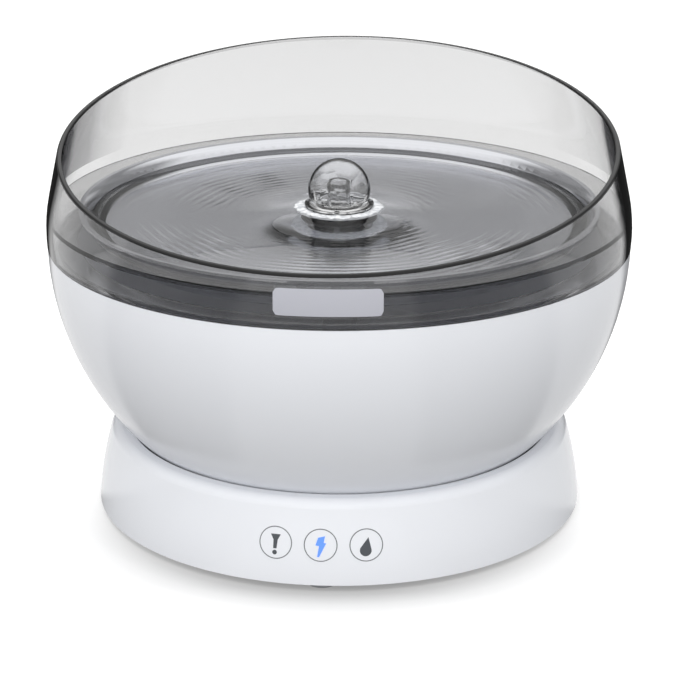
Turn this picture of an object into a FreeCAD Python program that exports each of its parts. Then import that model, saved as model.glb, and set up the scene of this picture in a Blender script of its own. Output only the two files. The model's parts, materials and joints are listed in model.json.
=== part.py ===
import FreeCAD, Part
import math
import os

# Pet water fountain, in millimetres. The origin is the centre of the base on the floor, +Z is up
# and -Y is the front, where the three indicators are and where the clear ring is lowest.
os.makedirs("parts", exist_ok=True)
V = FreeCAD.Vector
UP = V(0, 0, 1)
BACK = V(0, 1, 0)

# Clearances
LOOSE = 0.3          # between pieces that lift apart
RUNNING = 0.05       # between a shaft and its bearing
SNUG = 0.02          # between pieces pressed or glued together
THROUGH = 0.25       # round a screw that passes through a plate
PAST = 1.0           # how far a cut runs past the face that it opens

# Feet and base
FOOT_H = 2.9
FOOT_R = 7.0
FOOT_IN = 10.2       # from the base's bottom edge to a foot's middle
FOOT_STEM_R = 2.5
FOOT_BEAD_R = 3.3
FOOT_BEAD_TIP_R = 1.5
FOOT_BEAD_H = 1.2
FOOT_ROUND = 0.8
BASE_RIM_W = 7.7     # from the dish's edge to where the side would meet the top
BASE_FLARE = 7.2     # how much wider the bottom edge is than that
BASE_SIDE_ARC = 180.0
BASE_TOP_Z = 40.0
BASE_ROUND = 5.0
BASE_WALL = 2.5
INNER_ROUND = 0.5    # least round inside a corner
DISH_DEPTH = 10.0
DISH_FLOOR = 2.2
DISH_GAP = 0.6
COVER_T = 2.2
COVER_SCREW_IN = 26.2
COVER_BOSS_R = 4.0
COVER_RIB_IN = 12.0  # from the screws to the stiffening rib
COVER_RIB_T = 2.0
SCREW_R = 1.5
SCREW_HEAD_R = 2.9
SCREW_HEAD_H = 1.2
COVER_SCREW_L = 12.0
PILOT_SPARE = 1.0    # room under a screw's tip

# Bowl
BOWL_FOOT_R = 87.8
BOWL_RIM_R = 134.5
BOWL_SIDE_ARC = 130.9
BOWL_H = 97.8
BOWL_WALL = 2.8
BOWL_COLLAR_T = 2.0
BOWL_COLLAR_H = 5.0
PIN_BOSS_R = 4.0
PIN_BOSS_H = 1.7

# Clear ring
RING_GAP = 0.3       # the fine line between the bowl and the clear ring
RING_SWELL = 0.4     # how much wider the ring is than the bowl's rim
RING_BELLY_UP = 6.7  # height of the widest place above the bowl's rim
RING_ARC = 74.0
RING_TAPER_DEG = 12.1
RING_WALL = 2.6
RING_FRONT_UP = 23.7 # rim heights above the bowl's rim
RING_BACK_UP = 67.8
RING_EDGE_ROUND = 0.9
SPIGOT_H = 6.0
SPIGOT_T = 2.2
SEAL_DOWN = 3.0      # from the bowl's rim to the top of the seal
SEAL_H = 2.0
SEAL_DEEP = 1.1
LEDGE_IN = 16.5      # from the bowl's rim radius to the ledge's inner edge
LEDGE_T = 2.0
INNER_FLANGE_IN = 13.5
INNER_FLANGE_T = 2.0

# Tray
TRAY_T = 1.4
TRAY_LIP_W = 1.6     # how far the lip lies over the ledge
TRAY_LIP_T = 1.2
TRAY_TOP_UP = 16.9   # above the bowl's rim
TRAY_FLARE = 3.9
TRAY_BRIM_H = 4.6    # from the water's edge up to the lip
TRAY_DEEP = 13.7     # from the lip down to the floor
TRAY_CORNER = 6.0
TRAY_LEAN = 0.5      # how much the wall widens up to the water's edge
TRAY_SWEEP = 0.3     # share of the flare that the brim has covered half way up
TRAY_SOCKET_T = 2.0
TRAY_SOCKET_L = 10.0
OVERFLOW_COUNT = 3
OVERFLOW_W = 10.0
OVERFLOW_H = 3.0
OVERFLOW_STEP_DEG = 7.0

# Nozzle and dome
NOZZLE_R = 4.25
NOZZLE_BORE_R = 3.0
NOZZLE_L = 22.0      # above the tray's floor
NOZZLE_FLANGE_R = 17.0
NOZZLE_FLANGE_T = 1.4
NOZZLE_SKIRT_R = 5.0
NOZZLE_SKIRT_L = 6.0
POST_COUNT = 3
POST_R = 1.2
DOME_R = 14.4
DOME_CENTRE_UP = 7.2 # above the lip's underside
DOME_WALL = 1.6
DOME_LIP_R = 16.0
DOME_LIP_T = 0.9
DOME_LIP_UP = 12.2   # above the tray's floor
DOME_NECK_UP = 3.4
DOME_FLARE_IN = 0.4  # how far the flare hollows in from a straight slope
DOME_FLARE_DOWN = 0.3
DOME_CROWN_DEG = 45.0

# Impeller and its cover
PIN_R = 1.5
PIN_L = 24.5
PIN_DEPTH = 1.3
BUSH_T = 1.1
BUSH_L = 18.2
IMPELLER_R = 18.0
IMPELLER_CUP_H = 9.8
IMPELLER_WALL = 1.2
HUB_WALL = 1.6
VANE_COUNT = 5
VANE_H = 7.0
VANE_T = 1.4
VANE_TIP_R = 16.0
VANE_ARC = 11.0
VANE_ARC_OFF = 9.0
MAGNET_RING_R = 8.0
MAGNET_RING_H = 5.6
COVER_ROOM_R = 22.0
COVER_WALL = 2.0
COVER_FLANGE_R = 30.0
COVER_FLANGE_T = 2.0
COVER_WALL_H = 24.2
COVER_CONE_H = 12.0
CONE_BEND_IN = 4.0   # where the cone's curve passes, in from the wall below and up from its top
CONE_BEND_UP = 5.4
CONE_BORE_BEND_UP = 4.6
INTAKE_COUNT = 8
INTAKE_W = 7.0
INTAKE_H = 9.0
INTAKE_UP = 1.0      # above the flange
RISER_R = 8.0
RISER_WALL = 2.0
SPIDER_H = 3.0
SPIDER_HUB_R = 4.0
SPIDER_HUB_H = 4.0
SPIDER_ARM_T = 1.6
RISER_SEAL_H = 2.0
RISER_SEAL_DEEP = 0.8
RISER_SEAL_DOWN = 4.0

# Filter
FILTER_R = 58.0
FILTER_BORE_R = 36.0
FILTER_H = 42.0
FILTER_WALL = 1.5
FILTER_SLOTS = 24
FILTER_SLOT_W = 7.0
FILTER_SLOT_UP = 6.0
FILTER_SLOT_DOWN = 4.5
FILTER_CAP_T = 1.8
FILTER_TAB_W = 16.0
FILTER_TAB_H = 12.0
FILTER_TAB_T = 2.0
FILTER_TAB_AT = 30.0
FILTER_TAB_ROUND = 4.8
FILTER_HOLE_GAP = 0.5

# Drive under the dish
MOTOR_R = 14.0
MOTOR_H = 11.5
MOTOR_NECK_R = 4.0
MOTOR_ROUND = 1.0
SHAFT_R = 1.25
SHAFT_END_GAP = 1.5
BRACKET_T = 1.5
BRACKET_OVER = 2.0   # how far the plate reaches past the motor
BRACKET_ARM_W = 10.0
BRACKET_RING_R = 31.0
BRACKET_BOSS_R = 3.5
BRACKET_BOSSES = 3
BRACKET_SCREW_R = 1.2
BRACKET_SCREW_HEAD_R = 2.3
BRACKET_SCREW_L = 6.0
MOTOR_SCREW_RING_R = 9.0
MOTOR_SCREW_R = 1.0
MOTOR_SCREW_HEAD_R = 1.9
MOTOR_SCREW_HEAD_H = 0.8
MOTOR_SCREW_BITE = 2.5
MOTOR_TAP_DEEP = 3.0
CARRIER_R = 24.0
CARRIER_T = 5.0
CARRIER_GAP = 0.8
DRIVE_MAGNETS = 6
DRIVE_MAGNET_R = 4.0
DRIVE_MAGNET_H = 3.4
DRIVE_MAGNET_RING_R = 15.0

# Electronics
BOARD_T = 1.6
BOARD_W = 64.0
BOARD_L = 41.0
BOARD_UP = 7.9       # its upper face, above the bottom cover
BOARD_PEG_R = 3.0
BOARD_PEG_IN = 4.5
BOARD_SCREW_R = 1.1
BOARD_SCREW_HEAD_R = 2.1
BOARD_SCREW_L = 7.0
CHIP = (12.0, 12.0, 1.6)
CAPACITOR_R = 4.0
CAPACITOR_H = 9.0
CONNECTOR = (12.0, 7.0, 6.0)
CONNECTOR_IN = 2.0
TONGUE_EDGE = 2.0    # how much wider the board's tongue is than the jack
JACK_W = 9.0
JACK_L = 14.0
JACK_H = 11.0
JACK_SOCKET_R = 2.85
JACK_SOCKET_DEEP = 9.5
JACK_PIN_R = 1.0
JACK_PIN_BACK = 2.0  # from the jack's face to the pin's tip
PLUG_HOLE_R = 5.5
PLUG_COLLAR_T = 2.0
PLUG_RECESS_DEEP = 6.0   # of full round wall
ICON_UP = 18.1       # above the base's bottom edge
ICON_STEP_DEG = 10.26
ICON_R = 7.0
ICON_GAP = 0.25
ICON_T = 1.5
ICON_LEDGE = 0.8
GUIDE_R = 4.4
GUIDE_BAR_T = 1.6
LAMP_BOARD_IN = 18.2 # from the base's bottom edge to the board's front face
LAMP_BOARD_W = 56.0
LAMP_BOARD_H = 17.0
LAMP_BOARD_DROP = 9.0    # its lower edge, below the lamps
LAMP_RIB_T = 3.0
LAMP_RIB_BITE = 2.0
LED = (3.4, 1.2, 2.8)
SENSOR = (24.0, 16.0, 0.8)
SENSOR_X = 60.0

# Places that follow from the sizes above
SEAT_Z = BASE_TOP_Z - DISH_DEPTH
ICON_Z = FOOT_H + ICON_UP
BOWL_FLOOR_Z = SEAT_Z + BOWL_WALL
RIM_Z = SEAT_Z + BOWL_H
RING_Z = RIM_Z + RING_GAP
DISH_UNDER_Z = SEAT_Z - DISH_FLOOR
COVER_TOP_Z = FOOT_H + COVER_T
RING_BELLY_R = BOWL_RIM_R + RING_SWELL
RING_FRONT_Z = RIM_Z + RING_FRONT_UP
RING_BACK_Z = RIM_Z + RING_BACK_UP
LEDGE_R = BOWL_RIM_R - LEDGE_IN
INNER_FLANGE_R = BOWL_RIM_R - INNER_FLANGE_IN
TRAY_TOP_Z = RIM_Z + TRAY_TOP_UP
TRAY_LIP_R = LEDGE_R + TRAY_LIP_W
TRAY_WATER_R = LEDGE_R - TRAY_FLARE
TRAY_WATER_Z = TRAY_TOP_Z - TRAY_BRIM_H
TRAY_FLOOR_Z = TRAY_TOP_Z - TRAY_DEEP
NOZZLE_TOP_Z = TRAY_FLOOR_Z + NOZZLE_L
DOME_LIP_Z = TRAY_FLOOR_Z + DOME_LIP_UP
DOME_CENTRE_Z = DOME_LIP_Z + DOME_CENTRE_UP
DOME_NECK_Z = DOME_LIP_Z + DOME_NECK_UP
LEDGE_Z = TRAY_TOP_Z - TRAY_LIP_T
CARRIER_TOP_Z = DISH_UNDER_Z - CARRIER_GAP
CARRIER_Z = CARRIER_TOP_Z - CARRIER_T
BRACKET_TOP_Z = CARRIER_Z - MOTOR_SCREW_HEAD_H - LOOSE
BRACKET_Z = BRACKET_TOP_Z - BRACKET_T
MOTOR_Z = BRACKET_Z - MOTOR_H
PIN_Z = BOWL_FLOOR_Z - PIN_DEPTH
PIN_TOP_Z = PIN_Z + PIN_L
BUSH_Z = BOWL_FLOOR_Z + PIN_BOSS_H + LOOSE
BUSH_R = PIN_R + RUNNING + BUSH_T
HUB_R = BUSH_R + HUB_WALL
IMPELLER_Z = BUSH_Z + LOOSE
VANE_Z = IMPELLER_Z + IMPELLER_CUP_H
VANE_TOP_Z = VANE_Z + VANE_H
COVER_WALL_TOP_Z = BOWL_FLOOR_Z + COVER_WALL_H
COVER_OUT_R = COVER_ROOM_R + COVER_WALL
BOARD_Z = COVER_TOP_Z + BOARD_UP
LAMP_BOARD_Z0 = ICON_Z - LAMP_BOARD_DROP
LAMP_BOARD_Z1 = LAMP_BOARD_Z0 + LAMP_BOARD_H
RISER_BORE_R = RISER_R - RISER_WALL
RISER_TOP_Z = TRAY_FLOOR_Z - TRAY_T - LOOSE
SOCKET_R = RISER_R + LOOSE
RING_BELLY_Z = RIM_Z + RING_BELLY_UP
FRONT = -90.0


# Shapes that several pieces use
def spun(path):
    """Turn a section about Z. The path holds (r, z) corners, and (r, z, "via") bends a side into an arc."""
    edges = []
    start = path[0]
    bend = None
    for step in path[1:] + path[:1]:
        if len(step) == 3:
            bend = V(step[0], 0, step[1])
            continue
        a = V(start[0], 0, start[1])
        b = V(step[0], 0, step[1])
        side = Part.Arc(a, bend, b) if bend else Part.LineSegment(a, b)
        edges.append(side.toShape())
        start = step
        bend = None
    face = Part.Face(Part.Wire(edges))
    return face.revolve(V(0, 0, 0), UP, 360)


def hoop(r0, r1, z0, z1):
    return spun([(r0, z0), (r1, z0), (r1, z1), (r0, z1)])


def rod(r, z0, z1, x=0.0, y=0.0):
    return Part.makeCylinder(r, z1 - z0, V(x, y, z0))


def block(x0, x1, y0, y1, z0, z1):
    return Part.makeBox(x1 - x0, y1 - y0, z1 - z0, V(x0, y0, z0))


def turned(shape, degrees):
    copy = shape.copy()
    copy.rotate(V(0, 0, 0), UP, degrees)
    return copy


def around(shape, count, first=0.0):
    return [turned(shape, first + 360.0 * k / count) for k in range(count)]


def joined(shape, *more):
    return shape.fuse(list(more)).removeSplitter()


def arc_centre(low, high, radius):
    """Centre of the arc from low up to high that bulges away from the axis."""
    mid_r = (low[0] + high[0]) / 2
    mid_z = (low[1] + high[1]) / 2
    dr = high[0] - low[0]
    dz = high[1] - low[1]
    chord = math.hypot(dr, dz)
    back = math.sqrt(radius ** 2 - (chord / 2) ** 2)
    return (mid_r - back * dz / chord, mid_z + back * dr / chord)


def edges_at(shape, z, r, reach=0.4):
    """Round edges of the shape that lie at height z and radius r."""
    found = []
    for edge in shape.Edges:
        box = edge.BoundBox
        flat = abs(box.ZMin - z) < reach and abs(box.ZMax - z) < reach
        if flat and abs(box.XMax - r) < reach:
            found.append(edge)
    return found


def save(name, *solids):
    shape = solids[0] if len(solids) == 1 else Part.makeCompound(list(solids))
    shape.exportStep("parts/" + name + ".step")
    print(name, len(shape.Solids), "solids", round(shape.Volume / 1000, 2), "cm3", shape.isValid())


BOWL_CENTRE = arc_centre((BOWL_FOOT_R, SEAT_Z), (BOWL_RIM_R, RIM_Z), BOWL_SIDE_ARC)


def bowl_r(z, deeper=0.0):
    reach = BOWL_SIDE_ARC - deeper
    return BOWL_CENTRE[0] + math.sqrt(reach ** 2 - (z - BOWL_CENTRE[1]) ** 2)


DISH_EDGE_R = bowl_r(BASE_TOP_Z, -DISH_GAP)
BASE_TOP_R = DISH_EDGE_R + BASE_RIM_W
BASE_R = BASE_TOP_R + BASE_FLARE
BASE_CENTRE = arc_centre((BASE_R, FOOT_H), (BASE_TOP_R, BASE_TOP_Z), BASE_SIDE_ARC)
FOOT_RING_R = BASE_R - FOOT_IN
COVER_SCREW_RING_R = BASE_R - COVER_SCREW_IN
LAMP_BOARD_Y = BASE_R - LAMP_BOARD_IN


def base_r(z, deeper=0.0):
    reach = BASE_SIDE_ARC - deeper
    return BASE_CENTRE[0] + math.sqrt(reach ** 2 - (z - BASE_CENTRE[1]) ** 2)


def side(radius_at, z0, z1, deeper=0.0):
    """Three steps of a section that follow a curved side from z0 to z1."""
    mid = (z0 + z1) / 2
    return [(radius_at(z0, deeper), z0), (radius_at(mid, deeper), mid, "via"), (radius_at(z1, deeper), z1)]


def dish_space(top_z):
    """The hollow in the base's top, as the bowl's own outline with a gap round it."""
    return spun([(0, SEAT_Z)] + side(bowl_r, SEAT_Z, top_z, -DISH_GAP) + [(0, top_z)])


# Base housing
def base_outside():
    body = spun([(0, FOOT_H)] + side(base_r, FOOT_H, BASE_TOP_Z) + [(0, BASE_TOP_Z)])
    return body.makeFillet(BASE_ROUND, edges_at(body, BASE_TOP_Z, BASE_TOP_R))


def base_cavity():
    top = BASE_TOP_Z - BASE_WALL
    under = DISH_UNDER_Z
    shelf = -(DISH_GAP + BASE_WALL)
    outer = side(base_r, FOOT_H, top, BASE_WALL)
    inner = side(bowl_r, top, under, shelf)
    body = spun([(0, FOOT_H)] + outer + inner + [(0, under)])
    corner = edges_at(body, top, base_r(top, BASE_WALL))
    return body.makeFillet(max(BASE_ROUND - BASE_WALL, INNER_ROUND), corner)


def ring_places(radius, count, first):
    turns = [math.radians(first + 360.0 * k / count) for k in range(count)]
    return [(radius * math.cos(t), radius * math.sin(t)) for t in turns]


COVER_SCREWS = ring_places(COVER_SCREW_RING_R, 4, 45.0)
BRACKET_SCREWS = ring_places(BRACKET_RING_R, BRACKET_BOSSES, FRONT)
MOTOR_SCREWS = ring_places(MOTOR_SCREW_RING_R, 2, 0.0)
JACK_Z = BOARD_Z + JACK_H / 2
JACK_FACE_Y = base_r(JACK_Z + PLUG_HOLE_R) - PLUG_RECESS_DEEP
BOARD_Y1 = JACK_FACE_Y - JACK_L
BOARD_Y0 = BOARD_Y1 - BOARD_L
PEG_X = BOARD_W / 2 - BOARD_PEG_IN
BOARD_SCREWS = [(x, y) for x in (-PEG_X, PEG_X) for y in (BOARD_Y0 + BOARD_PEG_IN, BOARD_Y1 - BOARD_PEG_IN)]
ICON_TURNS = [FRONT - ICON_STEP_DEG, FRONT, FRONT + ICON_STEP_DEG]


def icon_frame(turn):
    """Centre of an indicator on the base's side, and the way out of the wall there."""
    a = math.radians(turn)
    r = base_r(ICON_Z)
    out_r = (r - BASE_CENTRE[0]) / BASE_SIDE_ARC
    out_z = (ICON_Z - BASE_CENTRE[1]) / BASE_SIDE_ARC
    centre = V(r * math.cos(a), r * math.sin(a), ICON_Z)
    return centre, V(out_r * math.cos(a), out_r * math.sin(a), out_z)


def icon_plug(turn, radius, from_out, to_in):
    centre, out = icon_frame(turn)
    return Part.makeCylinder(radius, from_out + to_in, centre + out * from_out, out * -1)


def base_housing():
    wall = base_outside().cut(base_cavity())
    up = BASE_TOP_Z - BASE_WALL / 2
    floor_mid = DISH_UNDER_Z + DISH_FLOOR / 2
    adds = [rod(COVER_BOSS_R, COVER_TOP_Z, floor_mid, x, y) for x, y in COVER_SCREWS]
    adds += [rod(BRACKET_BOSS_R, BRACKET_TOP_Z, floor_mid, x, y) for x, y in BRACKET_SCREWS]
    adds += [rod(BOARD_PEG_R, BOARD_Z, up, x, y) for x, y in BOARD_SCREWS]
    rib_in = LAMP_BOARD_W / 2 - LAMP_RIB_BITE
    for sign in (-1, 1):
        x0, x1 = sorted((sign * rib_in, sign * (rib_in + LAMP_RIB_T)))
        y0 = -LAMP_BOARD_Y - LAMP_RIB_T
        y1 = -LAMP_BOARD_Y + BOARD_T + LAMP_RIB_T
        rib = block(x0, x1, y0, y1, LAMP_BOARD_Z0, up)
        adds.append(rib.cut(lamp_board_slot()))
    face = V(0, JACK_FACE_Y, JACK_Z)
    collar = Part.makeCylinder(PLUG_HOLE_R + PLUG_COLLAR_T, BASE_R - JACK_FACE_Y, face, BACK)
    adds.append(collar.common(base_outside()))
    body = joined(wall, *adds).cut(dish_space(BASE_TOP_Z + PAST))
    deep = FOOT_H + SCREW_HEAD_H + COVER_SCREW_L
    cuts = [rod(SCREW_R, COVER_TOP_Z - PAST, deep, x, y) for x, y in COVER_SCREWS]
    deep = BRACKET_Z + BRACKET_SCREW_L
    cuts += [rod(BRACKET_SCREW_R, BRACKET_Z, deep, x, y) for x, y in BRACKET_SCREWS]
    deep = BOARD_Z - BOARD_T + BOARD_SCREW_L
    cuts += [rod(BOARD_SCREW_R, BOARD_Z - PAST, deep, x, y) for x, y in BOARD_SCREWS]
    cuts.append(Part.makeCylinder(PLUG_HOLE_R, BASE_R, V(0, JACK_FACE_Y - PAST, JACK_Z), BACK))
    for turn in ICON_TURNS:
        cuts.append(icon_plug(turn, ICON_R + ICON_GAP, BASE_WALL, ICON_T))
        cuts.append(icon_plug(turn, ICON_R - ICON_LEDGE, BASE_WALL, 2 * BASE_WALL))
    return body.cut(cuts)


def lamp_board_slot():
    half = LAMP_BOARD_W / 2 + LOOSE / 2
    front = -LAMP_BOARD_Y - LOOSE / 2
    back = -LAMP_BOARD_Y + BOARD_T + LOOSE / 2
    return block(-half, half, front, back, LAMP_BOARD_Z0 - PAST, LAMP_BOARD_Z1)


# Bottom cover, feet and the screws under the base
def bottom_cover():
    plate = spun([(0, FOOT_H), (base_r(FOOT_H, BASE_WALL) - LOOSE, FOOT_H),
                  (base_r(COVER_TOP_Z, BASE_WALL) - LOOSE, COVER_TOP_Z), (0, COVER_TOP_Z)])
    rib_r = COVER_SCREW_RING_R - COVER_RIB_IN
    body = joined(plate, hoop(rib_r - COVER_RIB_T, rib_r, COVER_TOP_Z, COVER_TOP_Z + COVER_T))
    z0 = FOOT_H - PAST
    z1 = COVER_TOP_Z + PAST
    cuts = [rod(SCREW_R + THROUGH, z0, z1, x, y) for x, y in COVER_SCREWS]
    cuts += [rod(SCREW_HEAD_R + THROUGH, z0, FOOT_H + SCREW_HEAD_H, x, y) for x, y in COVER_SCREWS]
    stems = ring_places(FOOT_RING_R, 4, FRONT)
    cuts += [rod(FOOT_STEM_R + SNUG, z0, z1, x, y) for x, y in stems]
    return body.cut(cuts)


def foot():
    x = FOOT_RING_R
    pad = Part.makeCylinder(FOOT_R, FOOT_H, V(x, 0, 0))
    pad = pad.makeFillet(FOOT_ROUND, edges_at(pad, 0, x + FOOT_R))
    stem = rod(FOOT_STEM_R, FOOT_H, COVER_TOP_Z, x)
    bead = Part.makeCone(FOOT_BEAD_R, FOOT_BEAD_TIP_R, FOOT_BEAD_H, V(x, 0, COVER_TOP_Z))
    return joined(pad, stem, bead)


def screw(x, y, head_z, shank_r, head_r, head_h, length, way):
    """Pan-head screw whose head starts at head_z and whose shank points up (way 1) or down (way -1)."""
    head = Part.makeCylinder(head_r, head_h, V(x, y, head_z), UP * way)
    shank = Part.makeCylinder(shank_r - SNUG, length, V(x, y, head_z + way * head_h), UP * way)
    return joined(head, shank)


# Bowl, its pin and the impeller
def reservoir_bowl():
    outside = [(0, SEAT_Z)] + side(bowl_r, SEAT_Z, RIM_Z)
    inside = side(bowl_r, RIM_Z, BOWL_FLOOR_Z, BOWL_WALL) + [(0, BOWL_FLOOR_Z)]
    wall = spun(outside + inside)
    inner = COVER_FLANGE_R + LOOSE
    mid = (SEAT_Z + BOWL_FLOOR_Z) / 2
    collar = hoop(inner, inner + BOWL_COLLAR_T, mid, BOWL_FLOOR_Z + BOWL_COLLAR_H)
    boss = rod(PIN_BOSS_R, mid, BOWL_FLOOR_Z + PIN_BOSS_H)
    return joined(wall, collar, boss).cut(rod(PIN_R + SNUG, PIN_Z, BOWL_FLOOR_Z + PIN_BOSS_H + PAST))


def vane():
    """One blade, a slice of a round wall whose centre lies off the axis, from the hub to the tip."""
    wall = Part.makeCylinder(VANE_ARC + VANE_T / 2, VANE_H, V(VANE_ARC_OFF, 0, VANE_Z))
    wall = wall.cut(Part.makeCylinder(VANE_ARC - VANE_T / 2, VANE_H, V(VANE_ARC_OFF, 0, VANE_Z)))
    reach = hoop(HUB_R - HUB_WALL / 2, VANE_TIP_R, VANE_Z, VANE_TOP_Z)
    half = block(-IMPELLER_R * 2, IMPELLER_R * 2, 0, IMPELLER_R * 2, VANE_Z, VANE_TOP_Z)
    return wall.common(reach).common(half)


def impeller():
    skirt_in = IMPELLER_R - IMPELLER_WALL
    deck_z = VANE_Z - IMPELLER_WALL
    cup = spun([(HUB_R, IMPELLER_Z), (HUB_R, deck_z), (skirt_in, deck_z), (skirt_in, IMPELLER_Z),
                (IMPELLER_R, IMPELLER_Z), (IMPELLER_R, VANE_Z), (HUB_R, VANE_Z), (HUB_R, VANE_TOP_Z),
                (BUSH_R + SNUG, VANE_TOP_Z), (BUSH_R + SNUG, IMPELLER_Z)])
    return joined(cup, *around(vane(), VANE_COUNT))


def impeller_magnet():
    top = VANE_Z - IMPELLER_WALL
    return hoop(MAGNET_RING_R, IMPELLER_R - IMPELLER_WALL - SNUG, top - MAGNET_RING_H, top)


def impeller_cover():
    z0 = BOWL_FLOOR_Z
    cone_z = COVER_WALL_TOP_Z + COVER_CONE_H
    flange_z = z0 + COVER_FLANGE_T
    outside = [(COVER_FLANGE_R, z0), (COVER_FLANGE_R, flange_z), (COVER_OUT_R, flange_z),
               (COVER_OUT_R, COVER_WALL_TOP_Z),
               (COVER_OUT_R - CONE_BEND_IN, COVER_WALL_TOP_Z + CONE_BEND_UP, "via"), (RISER_R, cone_z),
               (RISER_R, RISER_TOP_Z), (RISER_BORE_R, RISER_TOP_Z)]
    inside = [(RISER_BORE_R, cone_z),
              (COVER_ROOM_R - CONE_BEND_IN, COVER_WALL_TOP_Z + CONE_BORE_BEND_UP, "via"),
              (COVER_ROOM_R, COVER_WALL_TOP_Z), (COVER_ROOM_R, z0)]
    shell = spun(outside + inside)
    arm_z = PIN_TOP_Z - SPIDER_H + LOOSE
    half = SPIDER_ARM_T / 2
    arm = block(0, COVER_ROOM_R + COVER_WALL / 2, -half, half, arm_z, arm_z + SPIDER_H)
    hub = rod(SPIDER_HUB_R, arm_z, arm_z + SPIDER_HUB_H)
    body = joined(shell, hub, *around(arm, 3, FRONT))
    gate_z = flange_z + INTAKE_UP
    half = INTAKE_W / 2
    gate = block(COVER_ROOM_R - PAST, COVER_OUT_R + PAST, -half, half, gate_z, gate_z + INTAKE_H)
    groove_z = RISER_TOP_Z - RISER_SEAL_DOWN
    groove = hoop(RISER_R - RISER_SEAL_DEEP, RISER_R + PAST, groove_z, groove_z + RISER_SEAL_H)
    bearing = rod(PIN_R + RUNNING, arm_z - PAST, PIN_TOP_Z + LOOSE)
    return body.cut([bearing, groove] + around(gate, INTAKE_COUNT))


def riser_seal():
    z0 = RISER_TOP_Z - RISER_SEAL_DOWN + SNUG
    z1 = z0 + RISER_SEAL_H - 2 * SNUG
    return hoop(RISER_R - RISER_SEAL_DEEP + SNUG, SOCKET_R - RUNNING, z0, z1)


# Filter
def filter_frame():
    z0 = BOWL_FLOOR_Z
    z1 = z0 + FILTER_H - FILTER_CAP_T
    w = FILTER_WALL
    outer_in = FILTER_R - w
    inner_out = FILTER_BORE_R + w
    body = spun([(FILTER_BORE_R, z0), (FILTER_R, z0), (FILTER_R, z1), (outer_in, z1), (outer_in, z0 + w),
                 (inner_out, z0 + w), (inner_out, z1), (FILTER_BORE_R, z1)])
    half = FILTER_SLOT_W / 2
    slot = block(0, FILTER_R + PAST, -half, half, z0 + FILTER_SLOT_UP, z1 - FILTER_SLOT_DOWN)
    outer_slot = slot.common(hoop(outer_in - PAST, FILTER_R + PAST, z0, z1))
    inner_slot = slot.common(hoop(FILTER_BORE_R - PAST, inner_out + PAST, z0, z1))
    return body.cut(around(outer_slot, FILTER_SLOTS) + around(inner_slot, FILTER_SLOTS // 2))


def filter_media():
    z0 = BOWL_FLOOR_Z + FILTER_WALL
    z1 = BOWL_FLOOR_Z + FILTER_H - FILTER_CAP_T - LOOSE
    r0 = FILTER_BORE_R + FILTER_WALL + LOOSE
    return hoop(r0, FILTER_R - FILTER_WALL - LOOSE, z0, z1)


def filter_cap():
    z1 = BOWL_FLOOR_Z + FILTER_H
    z0 = z1 - FILTER_CAP_T
    plate = hoop(RISER_R + FILTER_HOLE_GAP, FILTER_R, z0, z1)
    tab = block(-FILTER_TAB_W / 2, FILTER_TAB_W / 2, FILTER_TAB_AT, FILTER_TAB_AT + FILTER_TAB_T,
                z0, z1 + FILTER_TAB_H)
    crown = [e for e in tab.Edges if e.BoundBox.ZMin > z1 and e.BoundBox.YLength > FILTER_TAB_T / 2
             and e.BoundBox.XLength < 0.1]
    tab = tab.makeFillet(min(FILTER_TAB_ROUND, FILTER_TAB_W / 3), crown)
    return joined(plate, *around(tab, 2))


# Clear ring
def ring_r(z):
    """Outer radius of the clear ring: round below, then a straight taper that leaves the arc smoothly."""
    lean = math.radians(RING_TAPER_DEG)
    turn_z = RING_BELLY_Z + RING_ARC * math.sin(lean)
    centre_r = RING_BELLY_R - RING_ARC
    if z > turn_z:
        return centre_r + RING_ARC * math.cos(lean) - (z - turn_z) * math.tan(lean)
    return centre_r + math.sqrt(RING_ARC ** 2 - (z - RING_BELLY_Z) ** 2)


def ring_in_r(z):
    """Inner radius of the clear ring at height z."""
    lean = math.radians(RING_TAPER_DEG)
    arc = RING_ARC - RING_WALL
    turn_z = RING_BELLY_Z + arc * math.sin(lean)
    centre_r = RING_BELLY_R - RING_ARC
    if z > turn_z:
        return centre_r + arc * math.cos(lean) - (z - turn_z) * math.tan(lean)
    return centre_r + math.sqrt(arc ** 2 - (z - RING_BELLY_Z) ** 2)


def above_rim():
    """Everything over the slanted rim, as a large block tilted to the rim's two heights."""
    front_y = -ring_r(RING_FRONT_Z)
    back_y = ring_r(RING_BACK_Z)
    tilt = math.degrees(math.atan2(RING_BACK_Z - RING_FRONT_Z, back_y - front_y))
    over = block(-RING_BELLY_R * 2, RING_BELLY_R * 2, -RING_BELLY_R, RING_BELLY_R * 3, 0, RING_BELLY_R)
    over.rotate(V(0, 0, 0), V(1, 0, 0), tilt)
    over.translate(V(0, front_y, RING_FRONT_Z))
    return over


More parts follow.
